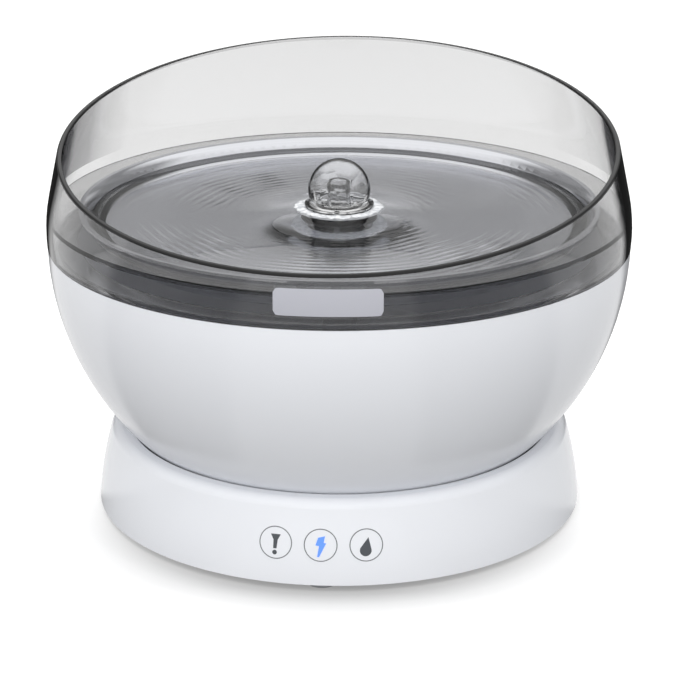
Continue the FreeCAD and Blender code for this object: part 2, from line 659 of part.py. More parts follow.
def top_shell():
    lean = math.radians(RING_TAPER_DEG)
    out_turn = RING_BELLY_Z + RING_ARC * math.sin(lean)
    in_turn = RING_BELLY_Z + (RING_ARC - RING_WALL) * math.sin(lean)
    high = RING_BACK_Z + RING_WALL * 3
    out_mid = (RING_Z + out_turn) / 2
    in_mid = (LEDGE_Z + in_turn) / 2
    ledge_low = LEDGE_Z - LEDGE_T
    low_mid = (RING_Z + ledge_low) / 2
    flange_z = RING_Z + INNER_FLANGE_T - LOOSE
    spigot_r = bowl_r(RIM_Z - SPIGOT_H, BOWL_WALL) - LOOSE
    spigot_in = spigot_r - SPIGOT_T
    body = spun([
        (spigot_r, RING_Z), (ring_r(RING_Z), RING_Z), (ring_r(out_mid), out_mid, "via"),
        (ring_r(out_turn), out_turn), (ring_r(high), high), (ring_in_r(high), high),
        (ring_in_r(in_turn), in_turn), (ring_in_r(in_mid), in_mid, "via"), (ring_in_r(LEDGE_Z), LEDGE_Z),
        (LEDGE_R, LEDGE_Z), (LEDGE_R, ledge_low), (ring_in_r(ledge_low), ledge_low),
        (ring_in_r(low_mid), low_mid, "via"), (ring_in_r(flange_z), flange_z),
        (INNER_FLANGE_R, flange_z), (INNER_FLANGE_R, flange_z - INNER_FLANGE_T),
        (spigot_in, flange_z - INNER_FLANGE_T), (spigot_in, RIM_Z - SPIGOT_H), (spigot_r, RIM_Z - SPIGOT_H)])
    seal_top = RIM_Z - SEAL_DOWN
    groove = hoop(spigot_r - SEAL_DEEP, spigot_r + PAST, seal_top - SEAL_H, seal_top)
    body = body.cut([above_rim(), groove])
    tall = RING_BACK_Z - RING_FRONT_Z
    rim = [e for e in body.Edges if e.BoundBox.ZLength > tall / 2 and e.BoundBox.XLength > RING_BELLY_R]
    return body.makeFillet(RING_EDGE_ROUND, rim)


def shell_seal():
    r1 = bowl_r(RIM_Z - SPIGOT_H, BOWL_WALL) - LOOSE
    top = RIM_Z - SEAL_DOWN - SNUG
    return hoop(r1 - SEAL_DEEP + SNUG, r1 + LOOSE / 3, top - SEAL_H + 2 * SNUG, top)


# Tray, nozzle and dome
def tray():
    t = TRAY_T
    floor = TRAY_FLOOR_Z
    under = floor - t
    wall_r = TRAY_WATER_R - TRAY_LEAN
    bend = TRAY_CORNER * (1 - math.sqrt(0.5))
    bend_out = (TRAY_CORNER + t) * (1 - math.sqrt(0.5))
    crest_r = LEDGE_R - LOOSE
    mid_z = (TRAY_WATER_Z + TRAY_TOP_Z) / 2
    mid_r = TRAY_WATER_R + (crest_r - TRAY_WATER_R) * TRAY_SWEEP
    body = spun([
        (SOCKET_R, under), (SOCKET_R, under - TRAY_SOCKET_L), (SOCKET_R + TRAY_SOCKET_T, under - TRAY_SOCKET_L),
        (SOCKET_R + TRAY_SOCKET_T, under), (wall_r - TRAY_CORNER, under),
        (wall_r + t - bend_out, under + bend_out, "via"), (wall_r + t, floor + TRAY_CORNER),
        (TRAY_WATER_R + t, TRAY_WATER_Z - t), (LEDGE_R - LOOSE, LEDGE_Z - t / 2), (LEDGE_R - LOOSE, LEDGE_Z),
        (TRAY_LIP_R, LEDGE_Z), (TRAY_LIP_R, TRAY_TOP_Z), (crest_r, TRAY_TOP_Z),
        (mid_r, mid_z, "via"), (TRAY_WATER_R, TRAY_WATER_Z), (wall_r, floor + TRAY_CORNER),
        (wall_r - bend, floor + bend, "via"), (wall_r - TRAY_CORNER, floor),
        (NOZZLE_SKIRT_R + SNUG, floor), (NOZZLE_SKIRT_R + SNUG, under)])
    half = OVERFLOW_W / 2
    low = TRAY_WATER_Z - OVERFLOW_H
    slot = block(wall_r - PAST, TRAY_WATER_R + t + PAST, -half, half, low, TRAY_WATER_Z)
    middle = (OVERFLOW_COUNT - 1) / 2
    turns = [FRONT + OVERFLOW_STEP_DEG * (k - middle) for k in range(OVERFLOW_COUNT)]
    return body.cut([turned(slot, turn) for turn in turns])


def nozzle():
    z0 = TRAY_FLOOR_Z
    deck = z0 + NOZZLE_FLANGE_T
    skirt_z = z0 - NOZZLE_SKIRT_L
    pipe = spun([
        (NOZZLE_BORE_R, skirt_z), (NOZZLE_SKIRT_R, skirt_z), (NOZZLE_SKIRT_R, z0), (NOZZLE_FLANGE_R, z0),
        (NOZZLE_FLANGE_R, deck), (NOZZLE_R, deck), (NOZZLE_R, NOZZLE_TOP_Z), (NOZZLE_BORE_R, NOZZLE_TOP_Z)])
    post = rod(POST_R, deck - NOZZLE_FLANGE_T / 2, DOME_LIP_Z, (DOME_LIP_R + DOME_R - DOME_WALL) / 2)
    return joined(pipe, *around(post, POST_COUNT, FRONT))


def dome_cap():
    def outer_r(z, wall=0.0):
        return math.sqrt((DOME_R - wall) ** 2 - (z - DOME_CENTRE_Z) ** 2)

    neck = outer_r(DOME_NECK_Z)
    neck_in = outer_r(DOME_NECK_Z, DOME_WALL)
    slant = math.radians(DOME_CROWN_DEG)
    in_r = DOME_R - DOME_WALL
    lip_top = DOME_LIP_Z + DOME_LIP_T
    flare_z = (DOME_NECK_Z + lip_top) / 2
    flare_r = (neck + DOME_LIP_R) / 2 - DOME_FLARE_IN

    def crown(radius):
        return (radius * math.cos(slant), DOME_CENTRE_Z + radius * math.sin(slant), "via")

    return spun([
        (neck_in, DOME_LIP_Z), (DOME_LIP_R, DOME_LIP_Z), (DOME_LIP_R, lip_top),
        (flare_r, flare_z - DOME_FLARE_DOWN, "via"), (neck, DOME_NECK_Z), crown(DOME_R),
        (0, DOME_CENTRE_Z + DOME_R), (0, DOME_CENTRE_Z + in_r), crown(in_r), (neck_in, DOME_NECK_Z)])


# Motor, bracket and the magnets that turn the impeller through the dish floor
def drive_motor():
    can = rod(MOTOR_R, MOTOR_Z, BRACKET_Z)
    can = can.makeFillet(MOTOR_ROUND, edges_at(can, MOTOR_Z, MOTOR_R))
    neck = rod(MOTOR_NECK_R, BRACKET_Z, BRACKET_TOP_Z)
    bore = rod(SHAFT_R + RUNNING, MOTOR_Z + SHAFT_END_GAP, BRACKET_TOP_Z + PAST)
    tap_z = BRACKET_Z - MOTOR_TAP_DEEP
    taps = [rod(MOTOR_SCREW_R, tap_z, BRACKET_Z + PAST, x, y) for x, y in MOTOR_SCREWS]
    return joined(can, neck).cut([bore] + taps)


def motor_bracket():
    plate = rod(MOTOR_R + BRACKET_OVER, BRACKET_Z, BRACKET_TOP_Z)
    arm = block(0, BRACKET_RING_R, -BRACKET_ARM_W / 2, BRACKET_ARM_W / 2, BRACKET_Z, BRACKET_TOP_Z)
    arm = arm.fuse(rod(BRACKET_ARM_W / 2, BRACKET_Z, BRACKET_TOP_Z, BRACKET_RING_R))
    body = joined(plate, *around(arm, BRACKET_BOSSES, FRONT))
    z0 = BRACKET_Z - PAST
    z1 = BRACKET_TOP_Z + PAST
    cuts = [rod(BRACKET_SCREW_R + THROUGH, z0, z1, x, y) for x, y in BRACKET_SCREWS]
    cuts += [rod(MOTOR_SCREW_R + THROUGH, z0, z1, x, y) for x, y in MOTOR_SCREWS]
    cuts.append(rod(MOTOR_NECK_R + SNUG, z0, z1))
    return body.cut(cuts)


def magnet_carrier():
    disc = rod(CARRIER_R, CARRIER_Z, CARRIER_TOP_Z)
    pocket_z = CARRIER_TOP_Z - DRIVE_MAGNET_H - SNUG
    pockets = [rod(DRIVE_MAGNET_R + SNUG, pocket_z, CARRIER_TOP_Z + PAST, x, y)
               for x, y in ring_places(DRIVE_MAGNET_RING_R, DRIVE_MAGNETS, 0.0)]
    return disc.cut(pockets + [rod(SHAFT_R + SNUG, CARRIER_Z - PAST, CARRIER_TOP_Z + PAST)])


def drive_magnets():
    z0 = CARRIER_TOP_Z - DRIVE_MAGNET_H - SNUG
    places = ring_places(DRIVE_MAGNET_RING_R, DRIVE_MAGNETS, 0.0)
    return [rod(DRIVE_MAGNET_R, z0, z0 + DRIVE_MAGNET_H, x, y) for x, y in places]


# Boards, lamps and the power inlet
def main_board():
    z0 = BOARD_Z - BOARD_T
    half = BOARD_W / 2
    card = block(-half, half, BOARD_Y0, BOARD_Y1, z0, BOARD_Z)
    tongue_half = JACK_W / 2 + TONGUE_EDGE
    tongue = block(-tongue_half, tongue_half, BOARD_Y1 - PAST, JACK_FACE_Y, z0, BOARD_Z)
    chip_x, chip_y, chip_z = CHIP
    mid_y = (BOARD_Y0 + BOARD_Y1) / 2
    in_card = BOARD_Z - BOARD_T / 2
    chip = block(-chip_x / 2, chip_x / 2, mid_y - chip_y / 2, mid_y + chip_y / 2, in_card, BOARD_Z + chip_z)
    can = rod(CAPACITOR_R, in_card, BOARD_Z + CAPACITOR_H, half / 2, mid_y)
    plug_x, plug_y, plug_z = CONNECTOR
    x0 = -half / 2 - plug_x / 2
    y0 = BOARD_Y0 + CONNECTOR_IN
    plug = block(x0, x0 + plug_x, y0, y0 + plug_y, in_card, BOARD_Z + plug_z)
    holes = [rod(BOARD_SCREW_R + THROUGH, z0 - PAST, BOARD_Z + PAST, x, y) for x, y in BOARD_SCREWS]
    return joined(card, tongue, chip, can, plug).cut(holes)


def power_inlet():
    y1 = JACK_FACE_Y
    body = block(-JACK_W / 2, JACK_W / 2, y1 - JACK_L, y1, BOARD_Z, BOARD_Z + JACK_H)
    deep = y1 - JACK_SOCKET_DEEP
    socket = Part.makeCylinder(JACK_SOCKET_R, JACK_SOCKET_DEEP + PAST, V(0, deep, JACK_Z), BACK)
    pin_l = JACK_SOCKET_DEEP + PAST - JACK_PIN_BACK
    pin = Part.makeCylinder(JACK_PIN_R, pin_l, V(0, deep - PAST, JACK_Z), BACK)
    return joined(body.cut(socket), pin)


def lamp_x(turn):
    return base_r(ICON_Z) * math.cos(math.radians(turn))


def indicator_board():
    half = LAMP_BOARD_W / 2
    return block(-half, half, -LAMP_BOARD_Y, -LAMP_BOARD_Y + BOARD_T, LAMP_BOARD_Z0, LAMP_BOARD_Z1)


def led_block(turn, gap=0.0):
    w, deep, h = LED
    x = lamp_x(turn)
    half = w / 2 + gap
    rise = h / 2 + gap
    back = -LAMP_BOARD_Y
    return block(x - half, x + half, back - deep - gap, back, ICON_Z - rise, ICON_Z + rise)


def light_guide():
    y1 = -LAMP_BOARD_Y
    half = LAMP_BOARD_W / 2 - LAMP_RIB_BITE - LAMP_RIB_T
    bar = block(-half, half, y1 - GUIDE_BAR_T, y1, ICON_Z - GUIDE_R, ICON_Z + GUIDE_R)
    rods = []
    for turn in ICON_TURNS:
        start = V(lamp_x(turn), y1 - GUIDE_BAR_T / 2, ICON_Z)
        pipe = Part.makeCylinder(GUIDE_R, BASE_R - LAMP_BOARD_Y, start, V(0, -1, 0))
        rods.append(pipe.cut(icon_plug(turn, ICON_R * 1.5, BASE_WALL * 3, ICON_T + LOOSE)))
    body = joined(bar, *rods)
    return body.cut([led_block(turn, LOOSE) for turn in ICON_TURNS])


def indicator_windows():
    outside = base_outside()
    return [icon_plug(turn, ICON_R, BASE_WALL, ICON_T).common(outside) for turn in ICON_TURNS]


def level_sensor():
    x, y, t = SENSOR
    return block(SENSOR_X - x / 2, SENSOR_X + x / 2, -y / 2, y / 2, DISH_UNDER_Z - t, DISH_UNDER_Z)


# Base
save("base_housing", base_housing())
save("bottom_cover", bottom_cover())
save("rubber_feet", *around(foot(), 4, FRONT))
save("cover_screws", *[screw(x, y, FOOT_H, SCREW_R, SCREW_HEAD_R, SCREW_HEAD_H,
                             COVER_SCREW_L - PILOT_SPARE, 1) for x, y in COVER_SCREWS])
save("drive_motor", drive_motor())
save("motor_bracket", motor_bracket())
save("bracket_screws", *[screw(x, y, BRACKET_Z - SCREW_HEAD_H, BRACKET_SCREW_R, BRACKET_SCREW_HEAD_R,
                               SCREW_HEAD_H, BRACKET_SCREW_L - PILOT_SPARE, 1) for x, y in BRACKET_SCREWS])
save("motor_screws", *[screw(x, y, BRACKET_TOP_Z + MOTOR_SCREW_HEAD_H, MOTOR_SCREW_R, MOTOR_SCREW_HEAD_R,
                             MOTOR_SCREW_HEAD_H, BRACKET_T + MOTOR_SCREW_BITE, -1) for x, y in MOTOR_SCREWS])
save("main_board", main_board())
save("board_screws", *[screw(x, y, BOARD_Z - BOARD_T - SCREW_HEAD_H, BOARD_SCREW_R, BOARD_SCREW_HEAD_R,
                             SCREW_HEAD_H, BOARD_SCREW_L - PILOT_SPARE, 1) for x, y in BOARD_SCREWS])
save("power_inlet", power_inlet())
save("indicator_board", indicator_board())
save("indicator_leds", *[led_block(turn) for turn in ICON_TURNS])
save("light_guide", light_guide())
save("indicator_windows", *indicator_windows())
save("level_sensor", level_sensor())

# Turning drive
save("motor_shaft", rod(SHAFT_R, MOTOR_Z + SHAFT_END_GAP + LOOSE, CARRIER_TOP_Z - LOOSE))
save("magnet_carrier", magnet_carrier())
save("drive_magnets", *drive_magnets())

# Bowl and impeller
save("reservoir_bowl", reservoir_bowl())
save("impeller_pin", rod(PIN_R, PIN_Z, PIN_TOP_Z))
save("impeller", impeller())
save("impeller_magnet", impeller_magnet())
save("impeller_bush", hoop(PIN_R + RUNNING, BUSH_R, BUSH_Z, BUSH_Z + BUSH_L))
save("impeller_cover", impeller_cover())
save("riser_seal", riser_seal())

# Filter cartridge
save("filter_frame", filter_frame())
save("filter_media", filter_media())
save("filter_cap", filter_cap())

# Drinking top
save("top_shell", top_shell())
save("shell_seal", shell_seal())
save("tray", tray())
save("nozzle", nozzle())
save("dome_cap", dome_cap())
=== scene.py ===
# %% [markdown]
# This lesson dresses a pet water fountain: a white bowl on a powered foot, a smoke-tinted clear ring with a
# slanted rim, a silver tray of rippling water, and a clear dome that the water wells up under. The
# construction is already there as a frame of solids. It is loaded first and never moved, and every new
# piece takes its place from it.

# %% Load the frame
import json
import math
import bpy
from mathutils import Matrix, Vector, noise

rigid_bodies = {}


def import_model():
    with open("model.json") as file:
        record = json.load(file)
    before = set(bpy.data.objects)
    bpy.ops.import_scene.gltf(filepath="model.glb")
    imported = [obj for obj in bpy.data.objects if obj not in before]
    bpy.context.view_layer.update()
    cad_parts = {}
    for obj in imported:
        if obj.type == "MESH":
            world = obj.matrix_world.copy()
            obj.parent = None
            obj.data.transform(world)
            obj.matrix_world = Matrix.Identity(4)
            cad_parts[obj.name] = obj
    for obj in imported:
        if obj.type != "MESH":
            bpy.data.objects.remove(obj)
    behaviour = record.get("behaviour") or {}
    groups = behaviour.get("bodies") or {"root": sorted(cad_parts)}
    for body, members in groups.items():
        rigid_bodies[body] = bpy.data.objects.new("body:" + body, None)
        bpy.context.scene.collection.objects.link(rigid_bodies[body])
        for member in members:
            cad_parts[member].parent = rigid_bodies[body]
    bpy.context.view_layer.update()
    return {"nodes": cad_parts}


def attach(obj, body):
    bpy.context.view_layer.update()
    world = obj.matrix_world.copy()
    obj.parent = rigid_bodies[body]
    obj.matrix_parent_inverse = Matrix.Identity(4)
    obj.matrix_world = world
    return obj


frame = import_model()
cad = frame["nodes"]

# %% [markdown]
# The camera stands where the photographer's did, a little to the right of the fountain's own front and
# looking down by about 20 degrees from over a metre away. A long lens keeps the round rims calm. The small
# shift puts the fountain a few pixels left of the middle, as in the photograph.

# %% Camera
CAMERA_TURN = math.radians(4.17)
CAMERA_PITCH = math.radians(19.615)
CAMERA_REACH = 1.09976
CAMERA_HEIGHT = 0.46373
IMAGE_SIDE = 700
FOCAL_PIXELS = 2474.95
AXIS_PIXEL_X = 339.2

lens = bpy.data.cameras.new("camera")
lens.lens = lens.sensor_width * FOCAL_PIXELS / IMAGE_SIDE
lens.shift_x = (IMAGE_SIDE / 2 - AXIS_PIXEL_X) / IMAGE_SIDE
camera = bpy.data.objects.new("camera", lens)
camera.location = (CAMERA_REACH * math.sin(CAMERA_TURN), -CAMERA_REACH * math.cos(CAMERA_TURN), CAMERA_HEIGHT)
camera.rotation_euler = (math.pi / 2 - CAMERA_PITCH, 0, CAMERA_TURN)
bpy.context.scene.collection.objects.link(camera)
bpy.context.scene.camera = camera
bpy.context.scene.view_settings.view_transform = "Standard"
print("lens", round(lens.lens, 1), "mm")

# %% [markdown]
# Most pieces of this fountain are round about one axis, as if they came off a lathe. Each starts as one
# point, which is extruded along the section of its wall and then spun once round the axis. Seams and poles
# are merged and the faces turned outward, so that clear pieces refract as real walls do. A modifier could
# spin it as well, but the operator leaves a plain mesh that can be cut and bevelled afterwards.

# %% A lathe for round pieces
STEPS = 192
MM = 0.001


def put_down():
    """Leave edit mode and select nothing, because the frame's nodes are selected when they load."""
    if bpy.context.object and bpy.context.object.mode != "OBJECT":
        bpy.ops.object.mode_set(mode="OBJECT")
    bpy.ops.object.select_all(action="DESELECT")


def arc(centre_r, centre_z, radius, start, end, points):
    """Section points in millimetres along an arc, with angles in degrees from straight outward."""
    turns = [math.radians(start + (end - start) * k / (points - 1)) for k in range(points)]
    return [(centre_r + radius * math.cos(t), centre_z + radius * math.sin(t)) for t in turns]


def turn_on_lathe(name, section, closed=True, steps=STEPS, sharp=35):
    """Spin a section of (r, z) points, in millimetres, into a finished round piece."""
    put_down()
    first = section[0]
    bpy.ops.mesh.primitive_plane_add(size=MM, location=(first[0] * MM, 0, first[1] * MM))
    piece = bpy.context.object
    piece.name = piece.data.name = name
    bpy.ops.object.mode_set(mode="EDIT")
    bpy.ops.mesh.select_all(action="SELECT")
    bpy.ops.mesh.merge(type="CENTER")
    path = section + [first] if closed else section
    for a, b in zip(path, path[1:]):
        step = ((b[0] - a[0]) * MM, 0, (b[1] - a[1]) * MM)
        bpy.ops.mesh.extrude_region_move(TRANSFORM_OT_translate={"value": step})
    bpy.ops.mesh.select_all(action="SELECT")
    bpy.ops.mesh.spin(steps=steps, angle=2 * math.pi, center=(0, 0, 0), axis=(0, 0, 1))
    bpy.ops.mesh.select_all(action="SELECT")
    bpy.ops.mesh.remove_doubles(threshold=0.00001)
    bpy.ops.mesh.normals_make_consistent(inside=False)
    bpy.ops.object.mode_set(mode="OBJECT")
    bpy.ops.object.transform_apply(location=True, rotation=True, scale=True)
    bpy.ops.object.shade_smooth_by_angle(angle=math.radians(sharp))
    print(name, len(piece.data.polygons), "faces")
    return piece


# %% [markdown]
# Every light and finish here is a small tree of nodes, and a tree is slow to read when it is written out
# node by node. So a few helpers each add one node and link it at once: a sum, a ramp of colours, a mix of
# two. The last one turns a place or a direction into how far it lies from the fountain's front.

# %% Helpers for node trees
def node(tree, kind, **values):
    """Add one node, with its settings by name."""
    made = tree.nodes.new(kind)
    for key, value in values.items():
        setattr(made, key, value)
    return made


def math_node(tree, operation, a, b=None, c=None):
    """One step of arithmetic on numbers and sockets."""
    made = node(tree, "ShaderNodeMath", operation=operation)
    for socket, value in zip(made.inputs, (a, b, c)):
        if value is None:
            continue
        if isinstance(value, (int, float)):
            socket.default_value = value
        else:
            tree.links.new(value, socket)
    return made.outputs[0]


def ramp(tree, factor, stops):
    """A colour ramp with (place, grey or colour) stops."""
    made = node(tree, "ShaderNodeValToRGB")
    elements = made.color_ramp.elements
    while len(elements) < len(stops):
        elements.new(0.5)
    for element, (place, colour) in zip(elements, stops):
        element.position = place
        element.color = (*colour, 1) if isinstance(colour, tuple) else (colour, colour, colour, 1)
    tree.links.new(factor, made.inputs[0])
    return made.outputs[0]


def mix(tree, factor, a, b, blend="MIX"):
    """A mix of two colours by a factor, each of them a value or a socket."""
    made = node(tree, "ShaderNodeMix", data_type="RGBA", blend_type=blend)
    for socket, value in zip((made.inputs[0], made.inputs[6], made.inputs[7]), (factor, a, b)):
        if isinstance(value, (int, float)):
            socket.default_value = value
        elif isinstance(value, tuple):
            socket.default_value = (*value, 1)
        else:
            tree.links.new(value, socket)
    return made.outputs[2]


def axes(tree, kind):
    """X, Y and Z of a texture coordinate."""
    spot = node(tree, "ShaderNodeTexCoord")
    split = node(tree, "ShaderNodeSeparateXYZ")
    tree.links.new(spot.outputs[kind], split.inputs[0])
    return split.outputs["X"], split.outputs["Y"], split.outputs["Z"]


def swing_from_front(tree, x, y):
    """How far a direction lies from the front: 0 is straight in front, 1 is straight behind."""
    turn = math_node(tree, "ARCTAN2", x, math_node(tree, "MULTIPLY", y, -1))
    return math_node(tree, "DIVIDE", math_node(tree, "ABSOLUTE", turn), math.pi)


print("node helpers ready")

# %% [markdown]
# The studio is plain: a pale floor and soft light from all round. What makes a clear and silver object read
# is what it mirrors, so the world shows three things. The camera, and rays that have only passed through
# clear plastic, see white. Rays that a mirror has sent on see a room: pale in front, dimmer gaps at both
# sides, white screens beside, and a wall behind under a bright ceiling. The light itself is an almost even
# white. Glossy Depth tells the first two apart, because it counts the mirrors that a ray has met.

# %% The room round the fountain
AROUND_LIGHT = 0.94
WHITE = (1.0, 1.0, 1.0)
BLACK = (0.0, 0.0, 0.0)
# Grey of the floor and horizon, from 0 in front to 1 behind: pale, a gap, a white screen, and dark.
SIDES = [(0.0, 0.80), (0.155, 0.78), (0.18, 0.38), (0.45, 0.38), (0.48, 1.0), (0.74, 1.0), (0.78, 0.03),
         (1.0, 0.03)]
# Grey of the wall behind by height, which is 0.5 at the horizon and 1 overhead.
WALL = [(0.0, 0.03), (0.50, 0.03), (0.565, 0.30), (0.61, 0.95), (0.630, 0.85), (0.640, 0.52), (0.655, 0.52),
        (0.665, 0.60), (0.68, 0.56), (0.70, 0.90), (0.775, 1.0), (1.0, 1.0)]
# Grey of the room above the horizon, from 0 in front to 1 behind: it is dim at both sides of the wall.
UPPER = [(0.0, 0.85), (0.50, 0.85), (0.60, 0.34), (1.0, 0.34)]
# Where the wall behind begins, what lies above the horizon, and where the ceiling begins.
BEHIND = [(0.0, 0.0), (0.84, 0.0), (0.92, 1.0)]
ABOVE = [(0.0, 0.0), (0.5, 0.0), (0.56, 1.0)]
CEILING = [(0.0, 0.0), (0.76, 0.0), (0.86, 1.0)]
# The light itself by height.
GLOW = [(0.0, 0.4), (0.5, 0.95), (1.0, 1.0)]


def ray_masks(tree):
    """Masks of the rays that a mirror has sent on, and of those that the camera sees by."""
    light = node(tree, "ShaderNodeLightPath")
    mirrored = math_node(tree, "GREATER_THAN", light.outputs["Glossy Depth"], 0.5)
    seen = math_node(tree, "MAXIMUM", light.outputs["Is Camera Ray"], light.outputs["Is Transmission Ray"])
    return mirrored, seen


world = bpy.data.worlds.new("studio")
bpy.context.scene.world = world
world.use_nodes = True
sky = world.node_tree
sky.nodes.clear()
x, y, z = axes(sky, "Generated")
swing = swing_from_front(sky, x, y)
height = math_node(sky, "MULTIPLY_ADD", z, 0.5, 0.5)
behind = ramp(sky, swing, BEHIND)
above = ramp(sky, height, ABOVE)
beside = mix(sky, above, ramp(sky, swing, SIDES), ramp(sky, swing, UPPER))
room = mix(sky, behind, beside, ramp(sky, height, WALL))
room = mix(sky, ramp(sky, height, CEILING), room, WHITE)
mirrored, seen = ray_masks(sky)
dimmed = mix(sky, AROUND_LIGHT, BLACK, ramp(sky, height, GLOW))
colour = mix(sky, seen, dimmed, WHITE)
colour = mix(sky, mirrored, colour, room)
back = node(sky, "ShaderNodeBackground")
sky.links.new(colour, back.inputs["Color"])
sky.links.new(back.outputs[0], node(sky, "ShaderNodeOutputWorld").inputs[0])
print("room ready")

# %% [markdown]
# Two large square lamps shade the bowl softly, one overhead and one in front. Mirrors and clear plastic
# don't see them, because a bright square in the ring's wall would look like a window.

# %% Lamps
def soft_lamp(name, place, size, power):
    """A square lamp that points at the bowl."""
    lamp = bpy.data.lights.new(name, "AREA")
    lamp.size = size
    lamp.energy = power
    made = bpy.data.objects.new(name, lamp)
    made.location = place
    made.rotation_euler = (Vector((0, 0, 0.08)) - Vector(place)).to_track_quat("-Z", "Y").to_euler()
    made.visible_glossy = False
    made.visible_transmission = False
    bpy.context.scene.collection.objects.link(made)


soft_lamp("overhead_lamp", (0.0, -0.25, 1.5), 1.3, 14)
soft_lamp("front_lamp", (-0.1, -1.7, 1.0), 1.2, 12)
print("lamps ready")

# %% [markdown]
# The floor looks white to the camera because it adds some light of its own, but it throws little light back
# up, so the bowl still shades off towards its foot. A soft contact shadow is painted into the floor's colour
# round the foot, strongest in front. Mirrored rays see the greys of the room on the floor instead. A colour
# ramp only runs from 0 to 1, so places on the floor are multiplied first, and a quarter of a metre fills it.

# %% Floor
FLOOR_SIDE = 40.0
FLOOR_GREY = 0.60
FLOOR_BOUNCE = 0.30
FLOOR_LIFT = 0.50
RAMP_SCALE = 4.0
PAINTED_SHADE_BY_RADIUS = [(0.0, 0.50), (0.47, 0.50), (0.51, 0.70), (0.60, 0.95), (0.70, 1.0)]
PAINTED_SHADE_IN_FRONT = [(0.0, 0.0), (0.1, 0.15), (0.45, 1.0)]

put_down()
bpy.ops.mesh.primitive_plane_add(size=FLOOR_SIDE, location=(0, 0, 0))
floor = bpy.context.object
floor.name = "floor"
ground = bpy.data.materials.new("pale_floor")
ground.use_nodes = True
tree = ground.node_tree
tree.nodes.clear()
matte = node(tree, "ShaderNodeBsdfDiffuse")
mirrored, seen = ray_masks(tree)
x, y, z = axes(tree, "Object")
squares = math_node(tree, "ADD", math_node(tree, "POWER", x, 2), math_node(tree, "POWER", y, 2))
away = math_node(tree, "MULTIPLY", math_node(tree, "SQRT", squares), RAMP_SCALE)
ahead = math_node(tree, "MULTIPLY", y, -RAMP_SCALE)
# Painted shadow: the floor's colour and glow darken round the foot, most in front.
painted_contact_shade = mix(tree, ramp(tree, ahead, PAINTED_SHADE_IN_FRONT), WHITE, ramp(tree, away, PAINTED_SHADE_BY_RADIUS))
plain = mix(tree, seen, (FLOOR_BOUNCE,) * 3, (FLOOR_GREY,) * 3)
tree.links.new(mix(tree, 1.0, plain, painted_contact_shade, "MULTIPLY"), matte.inputs["Color"])
pattern = ramp(tree, swing_from_front(tree, x, y), SIDES)
own = mix(tree, seen, BLACK, (FLOOR_LIFT,) * 3)
bright = mix(tree, mirrored, mix(tree, 1.0, own, painted_contact_shade, "MULTIPLY"), pattern)
lit = node(tree, "ShaderNodeEmission")
tree.links.new(bright, lit.inputs["Color"])
dark = node(tree, "ShaderNodeMixShader")
both = node(tree, "ShaderNodeAddShader")
tree.links.new(mirrored, dark.inputs[0])
tree.links.new(matte.outputs[0], dark.inputs[1])
tree.links.new(dark.outputs[0], both.inputs[0])
tree.links.new(lit.outputs[0], both.inputs[1])
tree.links.new(both.outputs[0], node(tree, "ShaderNodeOutputMaterial").inputs["Surface"])
floor.data.materials.append(ground)
print("floor ready")

# %% [markdown]
# Moulded plastic is never perfectly even: it has a faint orange-peel skin and a gloss that varies a little.
# That skin is used by every plastic and rubber here, so it is one node group with its own scale and depth,
# and each material places it with its own values.

# %% Skin that the mouldings share
def new_group(name, sockets):
    """A node group with named inputs and outputs, and its two end nodes."""
    group = bpy.data.node_groups.new(name, "ShaderNodeTree")
    for title, way_in, kind, value in sockets:
        made = group.interface.new_socket(name=title, in_out=way_in, socket_type=kind)
        if value is not None:
            made.default_value = value
    return group, group.nodes.new("NodeGroupInput"), group.nodes.new("NodeGroupOutput")


FLOAT = "NodeSocketFloat"
MOTTLE_SCALE = 28
skin, skin_in, skin_out = new_group("moulded_skin", [
    ("Scale", "INPUT", FLOAT, 900.0), ("Base Roughness", "INPUT", FLOAT, 0.2),
    ("Variation", "INPUT", FLOAT, 0.04), ("Roughness", "OUTPUT", FLOAT, None),
    ("Height", "OUTPUT", FLOAT, None), ("Mottle", "OUTPUT", FLOAT, None)])
spot = node(skin, "ShaderNodeTexCoord")
fine = node(skin, "ShaderNodeTexNoise")
fine.inputs["Detail"].default_value = 3
skin.links.new(spot.outputs["Object"], fine.inputs["Vector"])
skin.links.new(skin_in.outputs["Scale"], fine.inputs["Scale"])
broad = node(skin, "ShaderNodeTexNoise")
broad.inputs["Scale"].default_value = MOTTLE_SCALE
broad.inputs["Detail"].default_value = 4
skin.links.new(spot.outputs["Object"], broad.inputs["Vector"])
spread = math_node(skin, "MULTIPLY", math_node(skin, "SUBTRACT", broad.outputs["Fac"], 0.5),
                   skin_in.outputs["Variation"])
rough = math_node(skin, "ADD", skin_in.outputs["Base Roughness"], spread)
skin.links.new(rough, skin_out.inputs["Roughness"])
skin.links.new(fine.outputs["Fac"], skin_out.inputs["Height"])
skin.links.new(broad.outputs["Fac"], skin_out.inputs["Mottle"])
print("skin group ready")

# %% [markdown]
# A moulding is then one call: its colour with a faint mottle, its gloss, and how deep its skin is. The
# colour could be plain, but large smooth faces then look like paper, and a few percent of mottle already
# helps.

# %% Moulded plastics and rubbers
SKIN_BUMP = 0.0004


def principled(name):
    """A new material with its node tree and its Principled BSDF."""
    material = bpy.data.materials.new(name)
    material.use_nodes = True
    tree = material.node_tree
    shader = tree.nodes["Principled BSDF"]
    return material, tree, shader


def set_values(shader, **values):
    """Set sockets of a shader by name, with _ for each space."""
    for key, value in values.items():
        shader.inputs[key.replace("_", " ")].default_value = value


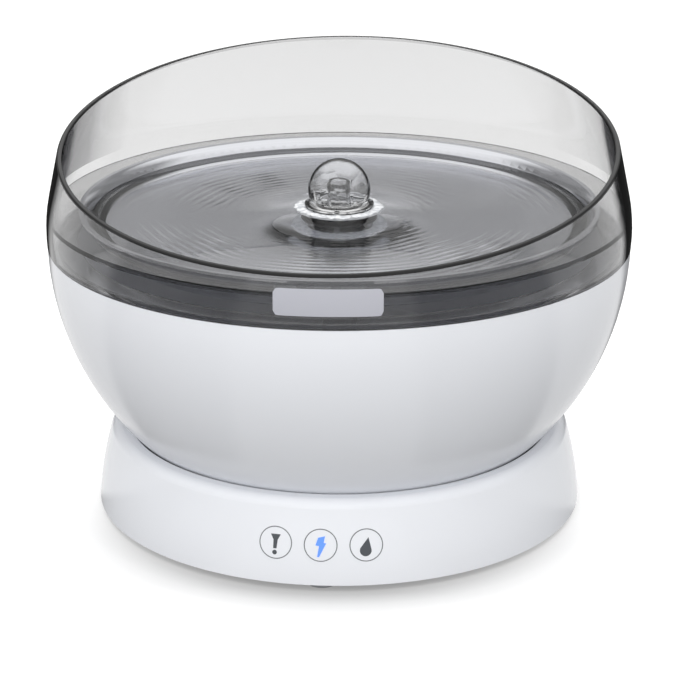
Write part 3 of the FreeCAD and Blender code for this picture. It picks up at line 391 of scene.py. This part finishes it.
def moulded(name, colour, roughness, scale=900.0, variation=0.05, depth=0.02, tint=0.03):
    """A moulded plastic or rubber: even colour with a faint mottle, and the shared skin."""
    material, tree, shader = principled(name)
    cover = node(tree, "ShaderNodeGroup", node_tree=skin)
    cover.inputs["Scale"].default_value = scale
    cover.inputs["Base Roughness"].default_value = roughness
    cover.inputs["Variation"].default_value = variation
    darker = tuple(c * (1 - tint) for c in colour)
    tree.links.new(mix(tree, cover.outputs["Mottle"], colour, darker), shader.inputs["Base Color"])
    tree.links.new(cover.outputs["Roughness"], shader.inputs["Roughness"])
    bump = node(tree, "ShaderNodeBump")
    bump.inputs["Strength"].default_value = depth
    bump.inputs["Distance"].default_value = SKIN_BUMP
    tree.links.new(cover.outputs["Height"], bump.inputs["Height"])
    tree.links.new(bump.outputs["Normal"], shader.inputs["Normal"])
    return material


print("moulded finish ready")

# %% [markdown]
# Metals are brushed or turned. Their grain is a noise stretched along the brushing, which here goes round
# the axis, so the noise is read on a radius and a height. It moves the roughness and a fine bump.

# %% Metal grain
GRAIN_BUMP = 0.0002
GRAIN_DARK = 0.85

grain, grain_in, grain_out = new_group("turned_grain", [
    ("Scale", "INPUT", FLOAT, 1500.0), ("Base Roughness", "INPUT", FLOAT, 0.3),
    ("Variation", "INPUT", FLOAT, 0.15), ("Roughness", "OUTPUT", FLOAT, None),
    ("Height", "OUTPUT", FLOAT, None)])
spot = node(grain, "ShaderNodeTexCoord")
part = node(grain, "ShaderNodeSeparateXYZ")
grain.links.new(spot.outputs["Object"], part.inputs[0])
across = math_node(grain, "POWER", part.outputs["X"], 2)
along = math_node(grain, "POWER", part.outputs["Y"], 2)
radius = math_node(grain, "SQRT", math_node(grain, "ADD", across, along))
lines = node(grain, "ShaderNodeCombineXYZ")
grain.links.new(radius, lines.inputs[0])
grain.links.new(part.outputs["Z"], lines.inputs[1])
scratch = node(grain, "ShaderNodeTexNoise")
scratch.inputs["Detail"].default_value = 5
grain.links.new(lines.outputs[0], scratch.inputs["Vector"])
grain.links.new(grain_in.outputs["Scale"], scratch.inputs["Scale"])
spread = math_node(grain, "MULTIPLY", math_node(grain, "SUBTRACT", scratch.outputs["Fac"], 0.5),
                   grain_in.outputs["Variation"])
rough = math_node(grain, "ADD", grain_in.outputs["Base Roughness"], spread)
grain.links.new(rough, grain_out.inputs["Roughness"])
grain.links.new(scratch.outputs["Fac"], grain_out.inputs["Height"])


def turned_metal(name, colour, roughness, scale=1500.0, variation=0.15, depth=0.05):
    """A metal whose grain runs round the axis."""
    material, tree, shader = principled(name)
    cover = node(tree, "ShaderNodeGroup", node_tree=grain)
    cover.inputs["Scale"].default_value = scale
    cover.inputs["Base Roughness"].default_value = roughness
    cover.inputs["Variation"].default_value = variation
    darker = tuple(c * GRAIN_DARK for c in colour)
    tree.links.new(mix(tree, cover.outputs["Height"], colour, darker), shader.inputs["Base Color"])
    tree.links.new(cover.outputs["Roughness"], shader.inputs["Roughness"])
    bump = node(tree, "ShaderNodeBump")
    bump.inputs["Strength"].default_value = depth
    bump.inputs["Distance"].default_value = GRAIN_BUMP
    tree.links.new(cover.outputs["Height"], bump.inputs["Height"])
    tree.links.new(bump.outputs["Normal"], shader.inputs["Normal"])
    set_values(shader, Metallic=1.0)
    return material


print("grain group ready")

# %% [markdown]
# Clear plastic takes its colour from absorption inside the wall, so that a thin wall looks pale and the
# long way through it at an edge looks darker. The ring has a light tint at its faces as well. Round an
# outline, where the eye looks along the wall, the plastic looks black, and Layer Weight paints that strip
# in as painted shade, on the ring and on the dome. The water in the dome has a bump of round cells, which
# break its reflections into facets.

# %% Clear plastics and water
FACET_SCALE = 130
FACET_BUMP = 0.002
RING_TINT_AND_OUTLINE_SHADE = [(0.0, 0.69), (0.45, 0.74), (0.64, 1.0), (0.74, 1.0), (0.79, 0.0), (1.0, 0.0)]
DOME_OUTLINE_SHADE = [(0.0, 1.0), (0.50, 1.0), (0.64, 0.0), (1.0, 0.0)]
SMOKE = (0.05, 0.045, 0.045)
WATER_TINT = (0.3, 0.32, 0.34)


def clear(name, ior, colour, density, roughness=0.0, edge=None, ripple=0.0):
    """A clear solid, which darkens with the length of the way through it."""
    material, tree, shader = principled(name)
    set_values(shader, Transmission_Weight=1.0, IOR=ior, Base_Color=(1, 1, 1, 1), Metallic=0.0)
    cover = node(tree, "ShaderNodeGroup", node_tree=skin)
    cover.inputs["Scale"].default_value = 300.0
    cover.inputs["Base Roughness"].default_value = roughness
    cover.inputs["Variation"].default_value = 0.01
    tree.links.new(cover.outputs["Roughness"], shader.inputs["Roughness"])
    if ripple:
        bump = node(tree, "ShaderNodeBump")
        bump.inputs["Strength"].default_value = ripple
        bump.inputs["Distance"].default_value = FACET_BUMP
        facets = node(tree, "ShaderNodeTexVoronoi")
        facets.inputs["Scale"].default_value = FACET_SCALE
        spot = node(tree, "ShaderNodeTexCoord")
        tree.links.new(spot.outputs["Object"], facets.inputs["Vector"])
        tree.links.new(facets.outputs["Distance"], bump.inputs["Height"])
        tree.links.new(bump.outputs["Normal"], shader.inputs["Normal"])
    # Painted shade: the base colour runs to black round the outline, where the eye looks along the wall.
    if edge:
        facing = node(tree, "ShaderNodeLayerWeight")
        facing.inputs["Blend"].default_value = 0.5
        tree.links.new(ramp(tree, facing.outputs["Facing"], edge), shader.inputs["Base Color"])
    inside = node(tree, "ShaderNodeVolumeAbsorption")
    inside.inputs["Color"].default_value = (*colour, 1)
    inside.inputs["Density"].default_value = density
    tree.links.new(inside.outputs[0], tree.nodes["Material Output"].inputs["Volume"])
    return material


smoke_clear = clear("smoke_clear", 1.49, SMOKE, 24.0, edge=RING_TINT_AND_OUTLINE_SHADE)
dome_clear = clear("dome_clear", 1.49, (0.2, 0.2, 0.22), 12.0, edge=DOME_OUTLINE_SHADE)
guide_clear = clear("guide_clear", 1.49, (0.6, 0.62, 0.65), 10.0, 0.1)
water_clear = clear("water_clear", 1.333, WATER_TINT, 6.0, 0.004)
dome_water_clear = clear("dome_water_clear", 1.333, WATER_TINT, 6.0, 0.0, ripple=0.45)
print("clear materials ready")

# %% [markdown]
# The slanted ring needs three things more. Its polished rim looks black, and that black is painted shade, a
# mask on the plane of the rim. The far half of its wall gets painted shade where it is seen aslant, on the
# left more than on the right. And light has to reach the white bowl behind the ring, so shadow and diffuse
# rays pass straight through its plastic.

# %% The ring's painted rim shade and far-wall shade
RIM_FRONT = (-0.1330, 0.1515)
RIM_BACK = (0.1241, 0.1956)
RIM_DEPTH = 0.0011
SHADE_Z = 0.149
RIM_SHADE_BY_PLACE = [(0.0, 1.0), (0.55, 1.0), (0.8, 0.55), (1.0, 0.45)]
ASLANT = [(0.0, 0.0), (0.42, 0.0), (0.62, 0.75), (1.0, 0.9)]
FAR_HALF = [(0.0, 0.0), (0.46, 0.0), (0.56, 1.0)]
LEFT_MORE = [(0.0, 1.0), (0.4, 0.9), (0.6, 0.4)]
FAR_PAINTED_SHADE = (0.05, 0.05, 0.055)
PASSING_TINT = (0.86, 0.86, 0.87, 1)

tree = smoke_clear.node_tree
shader = tree.nodes["Principled BSDF"]
x, y, z = axes(tree, "Object")
along_x = math_node(tree, "MULTIPLY_ADD", x, RAMP_SCALE, 0.5)
along_y = math_node(tree, "MULTIPLY_ADD", y, RAMP_SCALE, 0.5)
slope = (RIM_BACK[1] - RIM_FRONT[1]) / (RIM_BACK[0] - RIM_FRONT[0])
rim_z = math_node(tree, "MULTIPLY_ADD", y, slope, RIM_FRONT[1] - slope * RIM_FRONT[0])
# Painted shade: a black band along the plane of the rim, weaker towards the back.
at_rim = math_node(tree, "LESS_THAN", math_node(tree, "SUBTRACT", rim_z, z), RIM_DEPTH)
painted_rim_shade = math_node(tree, "MULTIPLY", at_rim, ramp(tree, along_y, RIM_SHADE_BY_PLACE))
# Painted shade: the far half of the wall above the tray darkens where it is seen aslant, more on the left.
facing = node(tree, "ShaderNodeLayerWeight")
facing.inputs["Blend"].default_value = 0.5
aslant = ramp(tree, facing.outputs["Facing"], ASLANT)
painted_far_shade = math_node(tree, "MULTIPLY", ramp(tree, along_y, FAR_HALF), math_node(tree, "GREATER_THAN", z, SHADE_Z))
painted_far_shade = math_node(tree, "MULTIPLY", painted_far_shade, ramp(tree, along_x, LEFT_MORE))
tint_and_painted_outline = shader.inputs["Base Color"].links[0].from_socket
shaded = mix(tree, math_node(tree, "MULTIPLY", aslant, painted_far_shade), tint_and_painted_outline, FAR_PAINTED_SHADE)
tree.links.new(mix(tree, painted_rim_shade, shaded, BLACK), shader.inputs["Base Color"])

light = node(tree, "ShaderNodeLightPath")
passing = math_node(tree, "MAXIMUM", light.outputs["Is Shadow Ray"], light.outputs["Is Diffuse Ray"])
way_in = node(tree, "ShaderNodeBsdfTransparent")
way_in.inputs["Color"].default_value = PASSING_TINT
choose = node(tree, "ShaderNodeMixShader")
tree.links.new(passing, choose.inputs[0])
tree.links.new(shader.outputs[0], choose.inputs[1])
tree.links.new(way_in.outputs[0], choose.inputs[2])
tree.links.new(choose.outputs[0], tree.nodes["Material Output"].inputs["Surface"])
print("ring ready")

# %% [markdown]
# Every node of the frame gets its finish here, from one table that can be checked against the list of
# nodes. The white of the bowl and foot is a glossy moulding with a cool cast. Inner pieces are what such a
# drive has: zinc screws, a drawn steel can, green boards and black ferrite.

# %% Finishes of the frame's nodes
white_gloss = moulded("white_gloss", (0.80, 0.815, 0.85), 0.16, depth=0.01, tint=0.012)
white_matte = moulded("white_matte", (0.78, 0.79, 0.81), 0.5, 1600, depth=0.25)
grey_rubber = moulded("grey_rubber", (0.36, 0.37, 0.39), 0.7, 1300, depth=0.3, tint=0.1)
seal_rubber = moulded("seal_rubber", (0.45, 0.46, 0.48), 0.5, 1300, depth=0.15, tint=0.1)
grey_plastic = moulded("grey_plastic", (0.32, 0.33, 0.35), 0.35, tint=0.06)
black_plastic = moulded("black_plastic", (0.02, 0.02, 0.023), 0.4, tint=0.1)
board_green = moulded("board_green", (0.02, 0.12, 0.05), 0.3, 500, tint=0.25)
impeller_white = moulded("impeller_white", (0.72, 0.73, 0.75), 0.3)
filter_white = moulded("filter_white", (0.70, 0.71, 0.73), 0.4)
filter_foam = moulded("filter_foam", (0.03, 0.03, 0.033), 0.95, 700, depth=1.0, tint=0.5)
magnet_black = moulded("magnet_black", (0.04, 0.04, 0.045), 0.55, tint=0.2)
bush_ceramic = moulded("bush_ceramic", (0.75, 0.74, 0.70), 0.2)
lamp_white = moulded("lamp_white", (0.85, 0.85, 0.75), 0.2)
tray_silver = turned_metal("tray_silver", (0.86, 0.87, 0.91), 0.09, 900, 0.06, 0.01)
screw_steel = turned_metal("screw_steel", (0.55, 0.55, 0.57), 0.35)
motor_steel = turned_metal("motor_steel", (0.50, 0.50, 0.52), 0.3)
pin_steel = turned_metal("pin_steel", (0.65, 0.65, 0.67), 0.15)
magnet_nickel = turned_metal("magnet_nickel", (0.66, 0.64, 0.60), 0.12)
copper_pad = turned_metal("copper_pad", (0.75, 0.42, 0.25), 0.3)

FINISH = {
    "base_housing": white_gloss, "bottom_cover": white_matte, "rubber_feet": grey_rubber,
    "cover_screws": screw_steel, "drive_motor": motor_steel, "motor_bracket": motor_steel,
    "bracket_screws": screw_steel, "motor_screws": screw_steel, "main_board": board_green,
    "board_screws": screw_steel, "power_inlet": black_plastic, "indicator_board": board_green,
    "indicator_leds": lamp_white, "light_guide": guide_clear, "indicator_windows": white_gloss,
    "level_sensor": copper_pad, "motor_shaft": pin_steel, "magnet_carrier": grey_plastic,
    "drive_magnets": magnet_nickel, "reservoir_bowl": white_gloss, "impeller_pin": pin_steel,
    "impeller": impeller_white, "impeller_magnet": magnet_black, "impeller_bush": bush_ceramic,
    "impeller_cover": grey_plastic, "riser_seal": seal_rubber, "filter_frame": filter_white,
    "filter_media": filter_foam, "filter_cap": filter_white, "top_shell": smoke_clear,
    "shell_seal": seal_rubber, "tray": tray_silver, "nozzle": guide_clear, "dome_cap": dome_clear}

for name, item in cad.items():
    item.data.materials.clear()
    item.data.materials.append(FINISH[name])
print("finished", len(FINISH), "nodes")

# %% [markdown]
# Water wells up under the dome and runs out over the tray in a thin sheet, up to the tray's wall. Its
# surface is what catches the light: a low mound round the dome, and fine rings that run outward and break
# up. It is turned on the lathe as one closed body with its rings already in the section. Then each point of
# the surface is moved a little, so that the rings come and go round the axis. Its underside lies just
# inside the metal of the tray, because a film of air between them would mirror like foil.

# %% Water in the tray
WATER_Z = 139.8
WATER_R = 113.9
WATER_FLOOR_Z = 130.9
WATER_FLOOR_R = 107.5
WATER_EDGE_Z = 136.6
MOUND_H = 2.6
MOUND_R = 17.0
MOUND_FADE = 15.0
RIPPLE_STEP = 4.4
RIPPLE_H = 0.05
RING_STEP = 0.9
FADE_IN = 22
FADE_OUT = 8
PATCH_SIZE = 30
SHRED_STEP = 4
SHRED_TURN = 9
SWELL_SIZE = 45
SWELL_H = 0.12
FRONT_R = (35, 95)
FRONT_Y = -25
FRONT_MORE = 0.35
CALM = 0.05
PATCH_MORE = 1.5
SHRED_MORE = 0.9
PHASE_MORE = 1.5


def mound(r):
    """Height of the mound at a radius, in millimetres."""
    return MOUND_H * math.exp(-((r - MOUND_R) / MOUND_FADE) ** 2)


rings = int((WATER_R - MOUND_R) / RING_STEP)
surface = [(WATER_R - k * RING_STEP, WATER_Z + mound(WATER_R - k * RING_STEP)) for k in range(rings + 1)]
section = [(0.0, WATER_FLOOR_Z), (WATER_FLOOR_R, WATER_FLOOR_Z), (WATER_R, WATER_EDGE_Z)] + surface
section += [(0.0, WATER_Z + MOUND_H)]
water = turn_on_lathe("water", section, closed=False, sharp=70)
for point in water.data.vertices:
    place = point.co / MM
    r = math.hypot(place.x, place.y)
    if place.z < WATER_Z - 1 or r < MOUND_R:
        continue
    turn = math.atan2(place.y, place.x)
    patch = noise.noise(Vector((place.x / PATCH_SIZE, place.y / PATCH_SIZE, 1.5)))
    shred = noise.noise(Vector((r / SHRED_STEP, turn * SHRED_TURN, 7.0)))
    in_front = FRONT_MORE if place.y < FRONT_Y and FRONT_R[0] < r < FRONT_R[1] else 0.0
    strength = max(0.0, CALM + in_front + PATCH_MORE * patch + SHRED_MORE * shred)
    fade = min(1.0, (r - MOUND_R) / FADE_IN) * min(1.0, (WATER_R - r) / FADE_OUT)
    phase = 2 * math.pi * r / RIPPLE_STEP + PHASE_MORE * patch
    wave = RIPPLE_H * strength * fade * math.sin(phase)
    swell = SWELL_H * noise.noise(Vector((place.x / SWELL_SIZE, place.y / SWELL_SIZE, 4.0))) * fade
    point.co.z += (wave + swell) * MM
water.data.materials.append(water_clear)
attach(water, "tray")
print("water", round(WATER_Z - WATER_FLOOR_Z, 1), "mm deep")

# %% [markdown]
# The dome is full of water too, which makes it a lens: it turns the room upside down, and that gives it its
# bright facets. Its dark crest is painted shade, from the dark outline that Layer Weight paints on the dome.
# This water is a round body that overlaps the dome's wall by a tenth of a millimetre, so that light passes
# from one to the other as through one piece.

# %% Water under the dome
DOME_CENTRE = 150.5
DOME_WATER_R = 12.9
DOME_WATER_Z = 143.0

low_turn = math.degrees(math.asin((DOME_WATER_Z - DOME_CENTRE) / DOME_WATER_R))
section = [(0.0, DOME_WATER_Z)] + arc(0.0, DOME_CENTRE, DOME_WATER_R, low_turn, 90, 24)
dome_water = turn_on_lathe("dome_water", section, closed=False, steps=96, sharp=70)
dome_water.data.materials.append(dome_water_clear)
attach(dome_water, "dome")

# %% [markdown]
# Where the stream runs out under the dome's lip it froths into a bright collar. It could be hundreds of
# bubbles, but at this size only a rough white edge shows. So it is a low round ring, with its points pushed
# in and out by a noise that is the same on each run, in a white that lets some light through and has a
# faint painted glow.

# %% Foam collar
FOAM_IN = 14.6
FOAM_OUT = 20.6
FOAM_LOW = 141.4
FOAM_H = 1.6
FOAM_FLAT = 0.9
FOAM_DEEP = 1.6
FOAM_TOP_Z = 143.2
FINE_FROTH = 1.6
BROAD_FROTH = 4.0
FROTH_H = 0.8
PUSH_OUT = 0.8
PUSH_UP = 0.5
FOAM_TONES = [(0.35, (0.55, 0.57, 0.60)), (0.6, (0.95, 0.96, 0.97))]


def foam_height(turn):
    """Height of the collar's round section at a turn in radians: flat on top and deeper below."""
    return FOAM_LOW + FOAM_H * math.sin(turn) * (FOAM_FLAT if turn < math.pi else FOAM_DEEP)


foam_mid = (FOAM_IN + FOAM_OUT) / 2
foam_half = (FOAM_OUT - FOAM_IN) / 2
turns = [math.radians(15 * k) for k in range(24)]
section = [(foam_mid + foam_half * math.cos(t), foam_height(t)) for t in turns]
foam = turn_on_lathe("foam_collar", section, steps=160, sharp=80)
for point in foam.data.vertices:
    place = point.co / MM
    push = noise.noise(place / FINE_FROTH) * FROTH_H + noise.noise(place / BROAD_FROTH) * FROTH_H
    point.co += Vector((place.x, place.y, 0)).normalized() * push * PUSH_OUT * MM
    point.co.z = min(point.co.z + push * PUSH_UP * MM, FOAM_TOP_Z * MM)
foam_white_glowing, tree, shader = principled("foam_white_glowing")
cover = node(tree, "ShaderNodeGroup", node_tree=skin)
cover.inputs["Scale"].default_value = 500.0
cover.inputs["Base Roughness"].default_value = 0.08
tree.links.new(ramp(tree, cover.outputs["Height"], FOAM_TONES), shader.inputs["Base Color"])
tree.links.new(cover.outputs["Roughness"], shader.inputs["Roughness"])
set_values(shader, Transmission_Weight=0.4, IOR=1.333)
# Painted light: a faint white glow of its own keeps the collar bright.
set_values(shader, Emission_Color=(0.9, 0.92, 0.95, 1), Emission_Strength=0.10)
foam.data.materials.append(foam_white_glowing)
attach(foam, "tray")

# %% [markdown]
# In the front of the clear ring sits a frosted plate with nothing on it. It is let into the outer face and
# stands two hundredths of a millimetre proud of it. A flat grid with rounded corners is wrapped onto the
# ring point by point, and Solidify gives it its thickness.

# %% Frosted plate
PLATE_TURN = math.radians(2.2)
PLATE_HALF_W = 23.0
PLATE_LOW = 134.3
PLATE_HIGH = 145.9
PLATE_CORNER = 2.0
PLATE_IN = 0.08
PLATE_T = 0.1
RING_BELLY_Z = 134.5
RING_BELLY_R = 134.9
RING_ARC = 74.0


def ring_r(z):
    """Outer radius of the clear ring's round lower part, in millimetres."""
    return RING_BELLY_R - RING_ARC + math.sqrt(RING_ARC ** 2 - (z - RING_BELLY_Z) ** 2)


put_down()
bpy.ops.mesh.primitive_grid_add(x_subdivisions=48, y_subdivisions=16, size=2)
plate = bpy.context.object
plate.name = plate.data.name = "front_plate"
half_h = (PLATE_HIGH - PLATE_LOW) / 2
for point in plate.data.vertices:
    u = point.co.x * PLATE_HALF_W
    v = point.co.y * half_h
    over_u = abs(u) - (PLATE_HALF_W - PLATE_CORNER)
    if over_u > 0:
        lost = PLATE_CORNER - math.sqrt(max(PLATE_CORNER ** 2 - over_u ** 2, 0))
        v *= (half_h - lost) / half_h
    z = (PLATE_LOW + PLATE_HIGH) / 2 + v
    r = ring_r(z) - PLATE_IN
    turn = -math.pi / 2 + PLATE_TURN + u / r
    point.co = Vector((r * math.cos(turn), r * math.sin(turn), z)) * MM
solid = plate.modifiers.new("thickness", "SOLIDIFY")
solid.thickness = PLATE_T * MM
solid.offset = 1.0
bpy.ops.object.modifier_apply(modifier="thickness")
bpy.ops.object.mode_set(mode="EDIT")
bpy.ops.mesh.select_all(action="SELECT")
bpy.ops.mesh.normals_make_consistent(inside=False)
bpy.ops.object.mode_set(mode="OBJECT")
bpy.ops.object.shade_smooth_by_angle(angle=math.radians(40))
frosted = moulded("frosted_plate", (0.44, 0.445, 0.49), 0.45, 1400, depth=0.1, tint=0.05)
plate.data.materials.append(frosted)
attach(plate, "top_ring")
print("plate", round(2 * PLATE_HALF_W), "by", round(PLATE_HIGH - PLATE_LOW, 1), "mm")

# %% [markdown]
# Three marks are printed on the foot: a thin ring round each window, and in it an exclamation mark, a bolt
# that is lit blue, and a drop. They could be a picture on the foot, but ink has an edge and a little
# height, so each mark is a thin piece. Its outline is written down flat, in millimetres from its window's
# middle, and what is round in it is worked out as an arc.

# %% Outlines of the marks
def circle(radius, x, y, points, start=0.0, end=360.0):
    """Points round a circle, from start to end in degrees."""
    turns = [math.radians(start + (end - start) * k / points) for k in range(points)]
    return [(x + radius * math.cos(t), y + radius * math.sin(t)) for t in turns]


EXCLAMATION = [(-2.25, 3.8), (2.2, 3.8), (0.9, 1.3), (0.5, -2.65), (-1.0, -2.65), (-1.0, 1.3)]
DOT = circle(1.05, -0.3, -4.4, 24)
BOLT = [(-1.1, 3.4), (1.9, 4.1), (1.35, 1.15), (2.45, 0.95), (-0.6, -5.3), (-1.5, -5.3), (-0.7, -0.3),
        (-2.3, -0.1)]
DROP = [(1.0, 3.5)] + circle(2.6, -0.3, -2.4, 30, 152, 388)
print("drop outline", len(DROP), "points")

# %% [markdown]
# An outline becomes a face as it would by hand: one point is extruded from corner to corner until the loop
# is closed, and the loop is filled. A ring line is two circles that are bridged into one flat band.

# %% Drawing a mark flat
def start_mark(name):
    """Start an empty piece in edit mode. Its units are millimetres until it is wrapped."""
    put_down()
    bpy.ops.mesh.primitive_plane_add(size=1)
    mark = bpy.context.object
    mark.name = mark.data.name = name
    bpy.ops.object.mode_set(mode="EDIT")
    bpy.ops.mesh.delete(type="VERT")
    return mark


def draw_face(corners):
    """Extrude a point from corner to corner, and fill the loop that it closes."""
    bpy.ops.mesh.primitive_plane_add(size=0.1, location=(*corners[0], 0))
    bpy.ops.mesh.merge(type="CENTER")
    for a, b in zip(corners, corners[1:] + corners[:1]):
        step = (b[0] - a[0], b[1] - a[1], 0)
        bpy.ops.mesh.extrude_region_move(TRANSFORM_OT_translate={"value": step})
    bpy.ops.mesh.select_linked()
    bpy.ops.mesh.remove_doubles(threshold=0.001)
    bpy.ops.mesh.edge_face_add()


def draw_ring(outer, inner):
    """Bridge two circles into one flat ring."""
    for radius in (outer, inner):
        bpy.ops.mesh.primitive_circle_add(vertices=96, radius=radius, fill_type="NOTHING")
    bpy.ops.mesh.select_all(action="SELECT")
    bpy.ops.mesh.bridge_edge_loops()


print("drawing helpers ready")

# %% [markdown]
# Each flat mark then gets its thickness and is wrapped onto the foot's curved side, a few hundredths of a
# millimetre proud of it. The side is one slow arc, so its radius at any height follows from the arc's
# centre. Shrinkwrap could do this too, but here a formula keeps each mark's true width.

# %% Printed marks
BASE_LOW = (114.17, 2.9)
BASE_HIGH = (106.97, 40.0)
BASE_SIDE_ARC = 180.0
MARK_Z = 21.0
MARK_STEP = math.radians(10.26)
INK_T = 0.06
RING_LINE_IN = 6.95
RING_LINE_OUT = 7.4

chord = math.hypot(BASE_HIGH[0] - BASE_LOW[0], BASE_HIGH[1] - BASE_LOW[1])
back_off = math.sqrt(BASE_SIDE_ARC ** 2 - (chord / 2) ** 2) / chord
base_centre_r = (BASE_LOW[0] + BASE_HIGH[0]) / 2 - back_off * (BASE_HIGH[1] - BASE_LOW[1])
base_centre_z = (BASE_LOW[1] + BASE_HIGH[1]) / 2 + back_off * (BASE_HIGH[0] - BASE_LOW[0])


def base_r(z):
    """Outer radius of the foot's side at a height, in millimetres."""
    return base_centre_r + math.sqrt(BASE_SIDE_ARC ** 2 - (z - base_centre_z) ** 2)


def wrap_on_foot(mark, place, ink):
    """Give the flat mark its thickness, and wrap it onto the foot at one of the three places."""
    bpy.ops.mesh.select_all(action="SELECT")
    bpy.ops.mesh.extrude_region_move(TRANSFORM_OT_translate={"value": (0, 0, INK_T)})
    bpy.ops.mesh.select_all(action="SELECT")
    bpy.ops.mesh.normals_make_consistent(inside=False)
    bpy.ops.object.mode_set(mode="OBJECT")
    middle = -math.pi / 2 + place * MARK_STEP
    tilt = math.asin((MARK_Z - base_centre_z) / BASE_SIDE_ARC)
    for point in mark.data.vertices:
        z = MARK_Z + point.co.y * math.cos(tilt)
        r = base_r(z) + point.co.z - INK_T / 3
        angle = middle + point.co.x / r
        point.co = Vector((r * math.cos(angle), r * math.sin(angle), z)) * MM
    mark.data.materials.append(ink)
    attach(mark, "base")


def print_mark(name, faces, place, ink):
    """Draw a mark's faces, cut them fine so that they can bend, and wrap them."""
    mark = start_mark(name)
    for corners in faces:
        draw_face(corners)
    bpy.ops.mesh.select_all(action="SELECT")
    bpy.ops.mesh.quads_convert_to_tris()
    bpy.ops.mesh.subdivide(number_cuts=3)
    wrap_on_foot(mark, place, ink)


dark_ink = moulded("dark_ink", (0.070, 0.078, 0.088), 0.4, 1500, depth=0.05)
line_ink = moulded("line_ink", (0.17, 0.18, 0.19), 0.4, 1500, depth=0.05)
blue_light = moulded("blue_light", (0.11, 0.26, 1.0), 0.3, 1500, depth=0.05)
blue_shader = blue_light.node_tree.nodes["Principled BSDF"]
set_values(blue_shader, Emission_Color=(0.11, 0.27, 1.0, 1), Emission_Strength=0.35)
for place, title in zip((-1, 0, 1), ("warning", "power", "water")):
    ring_line = start_mark("ring_line_" + title)
    draw_ring(RING_LINE_OUT, RING_LINE_IN)
    wrap_on_foot(ring_line, place, line_ink)
print_mark("mark_warning", [EXCLAMATION, DOT], -1, dark_ink)
print_mark("mark_power", [BOLT], 0, blue_light)
print_mark("mark_water", [DROP], 1, dark_ink)
print("marks printed")
